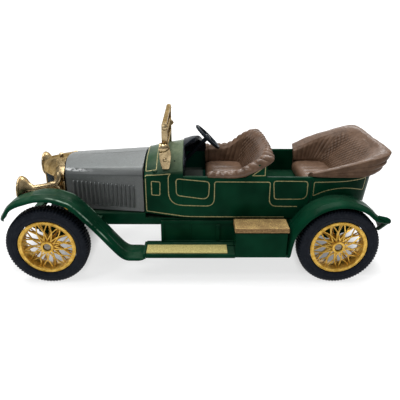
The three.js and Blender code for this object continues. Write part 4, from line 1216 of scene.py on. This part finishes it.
def squeeze(x, limit, share):
    """Shortens what lies in front of a limit."""
    return limit + (x - limit) * share if x < limit else x


def make_wings():
    stations = [(-42.85, 14.15, 2.2, 2.6), (-42.7, 14.45, 1.5, 1.5), (-42.35, 15.05, 1.1, 0.7)]
    for angle in (142, 131, 119, 105, 92, 80, 68, 55):
        radius = 11.0 + 0.7 * math.sin(math.radians(angle)) - 0.2 * clamp((angle - 80) / 30)
        stations.append((*on_arch(angle, radius, -AXLE_X), clamp((angle - 92) / 30)))
    stations += [(-21.2, 13.4), (-18.0, 9.4), (-16.2, 7.35), (-14.9, 6.55), (-13.2, 6.45), (-11.2, 6.45)]
    shape, front = Solid(), Solid()
    wing(shape, stations, FRONT_SECTION)
    right = [(squeeze(x, -39.5, 0.3), -y, z - 0.6 * clamp((z - 15) / 3)) for x, y, z in shape.verts]
    left = [(squeeze(x, -39, 0.78), y, z + 0.8 * clamp((-36 - x) / 5)) for x, y, z in shape.verts]
    front.add(right, shape.faces).add(left, shape.faces)
    front.make("front_wings", GREEN, stands_for="chassis_casting", sharp=70)

    rear = Solid()
    stations = [(21.2, 6.75), (21.35, 7.6), (21.65, 9.8), (22.4, 12.6)]
    stations += [on_arch(angle, 10.35, AXLE_X) for angle in (142, 128, 114, 100, 86, 72, 58, 44)]
    stations += [(41.0, 16.15, 0, 0, 41.6, 14.2), (42.3, 15.75, 0.1, 0.2, 42.7, 12.2),
                 (42.75, 15.4, 0.3, 0.6, 42.9, 11.5)]
    wing(rear, stations, REAR_SECTION)
    edge = spline([
        (40.2, -16.65, 16.9), (41.5, -16.6, 16.35), (42.5, -16.45, 15.75), (42.65, -15.6, 15.1),
        (42.75, -13.6, 13.2), (42.8, -11.9, 11.55)], 6)
    radii = [lerp(0.3, 0.62, ease(k / 10)) - 0.12 * max(0, k - 14) / 16 for k in range(len(edge))]
    rear.tube(edge, radii, 14)
    rear.mirror().make("rear_wings", GREEN, sharp=70)


def make_chassis():
    s = Solid()
    rail = [
        (-39, 12.5), (-37, 11.7), (36, 11.7), (38, 12.5), (38, 13.35), (-11.1, 13.35), (-11.1, 14.6),
        (-39, 14.6)]
    s.prism(rail, -10.4, -8.4)
    for x in (-AXLE_X, AXLE_X):
        for k in range(4):      # leaves of the spring
            reach, z = 6.4 - 1.3 * k, 11.9 - 0.85 * k
            arc = [(x + reach * u, z - 0.9 * (1 - u * u)) for u in (t / 6 - 1 for t in range(13))]
            s.prism(arc + [(px, pz - 0.62) for px, pz in reversed(arc)], -9.9, -8.5)
        s.box(x - 0.9, x + 0.9, -10.0, -8.45, 7.9, 12.2)
    s.box(-23.3, -20.9, -11.6, -10.2, 12.3, 14.1)
    s.box(22.2, 24.2, -11.6, -10.2, 11.9, 13.3)
    s.mirror()
    s.box(-30, 37, -8.6, 8.6, 12.25, 13.1)
    s.box(-38.4, -36.6, -8.6, 8.6, 12.6, 13.9)
    s.make("chassis_rails", GREEN, bevel=0.12)


def make_running_boards():
    boards = Solid()
    front, rear = -7.6, 21.3      # ends of the valance between the wings
    boards.box(front, rear, -10.75, -10.1, 6.9, 12.95)
    boards.box(front, rear, -11.0, -10.2, 12.2, 12.95)
    boards.box(front, rear, -11.0, -10.2, 6.8, 7.75)
    for x in (front, 20.6):
        boards.box(x, x + 0.75, -11.05, -10.2, 7.2, 12.9)
    boards.box(5.2, 6.1, -11.25, -10.2, 7.9, 12.0)
    for x in (-0.9, 12.5):
        boards.box(x, x + 0.35, -10.9, -10.2, 7.6, 12.4)
    boards.box(-11.0, 9.35, -17.0, -10.3, 6.72, 7.38)
    boards.box(-11.35, -10.75, -17.05, -11.3, 6.35, 7.75)
    boards.box(-10.7, 9.35, -17.05, -16.62, 6.62, 7.62)
    boards.box(-10.7, 9.35, -12.75, -12.45, 7.2, 7.6)
    boards.box(20.7, 21.7, -17.0, -10.3, 6.72, 7.38)
    boards.mirror().make("running_boards", GREEN, bevel=0.11)


def make_toolbox():
    case = Solid().box(9.32, 20.78, -16.98, -11.32, 6.72, 12.86)
    case.make("toolbox_case", GREEN, stands_for="toolbox", bevel=0.16)
    lid = Solid()
    lid.box(9.05, 21.05, -17.1, -12.1, 13.02, 13.52)
    lid.box(9.17, 20.93, -16.98, -12.22, 13.4, 13.7)
    lid.box(9.08, 21.02, -17.07, -12.13, 13.6, 14.1)
    lid.make("toolbox_cover", BRONZE, stands_for="toolbox_lid", bevel=0.1)


# ---- wheels ----------------------------------------------------------------------------------
RIM_PROFILE = [
    (5.52, 1.5), (5.58, 1.66), (5.7, 1.72), (5.85, 1.66), (6.1, 1.66), (6.2, 1.74), (6.34, 1.7),
    (6.38, 1.55), (6.34, 1.3), (6.3, 1.0), (6.3, -1.4), (6.36, -1.6), (5.8, -1.65), (5.6, -1.55),
    (5.45, -1.0), (5.3, -0.5), (5.28, 0.2), (5.4, 0.7), (5.48, 1.1)]
HUB_PROFILE = [
    (0.64, -2.05), (1.15, -2.05), (1.3, -1.6), (1.25, -0.7), (1.05, -0.2), (1.1, 0.5), (1.35, 0.95),
    (1.47, 1.25), (1.5, 1.55), (1.42, 1.72), (1.25, 1.78), (1.02, 1.76), (0.9, 1.66), (0.86, 1.4),
    (0.85, 0.95), (0.64, 0.9)]
# half of the tyre: radius, distance from its middle plane, and how deep the tread is cut there
TYRE_PROFILE = [
    (6.5, 1.55, 0), (6.56, 1.75, 0), (6.8, 1.9, 0), (7.15, 1.97, 0), (7.35, 1.99, 0), (7.45, 1.93, 0),
    (7.55, 1.93, 0), (7.65, 1.98, 0), (8.0, 1.97, 0), (8.35, 1.9, 0), (8.6, 1.86, 0.3),
    (8.82, 1.72, 0.8), (9.02, 1.5, 1), (9.14, 1.2, 1), (9.15, 0.2, 1), (9.0, 0.08, 0.5)]
SPOKES, TREAD_BLOCKS, TREAD_DEPTH, WHEEL_Y = 13, 80, 0.22, 15.0


def make_wheel(end, side):
    centre = Vector((-AXLE_X if end == "front" else AXLE_X, side * WHEEL_Y, AXLE_Z))
    hand = "left" if side < 0 else "right"
    body = f"{end}_{hand}_wheel"
    axis = Vector((0, side, 0))
    spot = lambda r, angle, h: centre + Vector((math.cos(angle), 0, math.sin(angle))) * r + axis * h

    rim = Solid()
    rim.lathe(RIM_PROFILE, centre, axis, 96)
    rim.lathe(HUB_PROFILE, centre, axis, 40)
    for k in range(SPOKES):
        turn = 2 * math.pi * k / SPOKES
        for lean in (-0.44, 0.44):
            start, stop = turn - lean * 0.25, turn + lean
            middle = lerp(start, stop, 0.62)
            rim.tube([spot(1.25, start, 1.15), spot(3.4, middle, 0.98), spot(5.45, stop, 0.75)],
                     [0.2, 0.15, 0.17], 7)
        start = turn + math.pi / SPOKES
        for lean in (-0.3, 0.3):
            rim.tube([spot(1.15, start, -0.9), spot(5.35, start + lean, -0.35)], [0.19, 0.16], 6)
    rim.make(f"{end}_{hand}_wire_wheel", WHEEL_GOLD, body=body, stands_for=f"{end}_{hand}_rim", sharp=38)

    # the blocks of the two shoulders are half a pitch apart
    loop = [(r, h, cut, 0) for r, h, cut in TYRE_PROFILE]
    loop += [(r, -h, cut, 2) for r, h, cut in reversed(TYRE_PROFILE)]
    steps = TREAD_BLOCKS * 4
    rings = []
    for k in range(steps):
        angle = 2 * math.pi * k / steps
        rings.append([spot(r - TREAD_DEPTH * cut if (k + phase) % 4 < 2 else r, angle, h)
                      for r, h, cut, phase in loop])
    tyre = Solid().loft(rings, closed=True)
    tyre.make(f"{end}_{hand}_tread_tyre", RUBBER, body=body, stands_for=f"{end}_{hand}_tyre", sharp=28)


# ---- everything ------------------------------------------------------------------------------
make_body()
make_door_details()
make_stripes()
make_bonnet()
make_radiator()
make_headlamps()
make_windscreen()
make_dashboard()
make_steering()
make_front_seat()
make_rear_seat()
make_hood()
make_wings()
make_chassis()
make_running_boards()
make_toolbox()
for wheel_end in ("front", "rear"):
    for wheel_side in (-1, 1):
        make_wheel(wheel_end, wheel_side)

KEPT = {"base_plate": ENAMEL, "front_rivet": STEEL, "rear_rivet": STEEL, "front_axle": STEEL,
        "rear_axle": STEEL, "left_tread_strip": TREAD, "right_tread_strip": TREAD}
for node_name, finish in KEPT.items():
    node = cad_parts[node_name]
    node.data.materials.clear()
    node.data.materials.append(finish)
    if "strip" in node_name or "plate" in node_name:
        soften(node, 0.08)
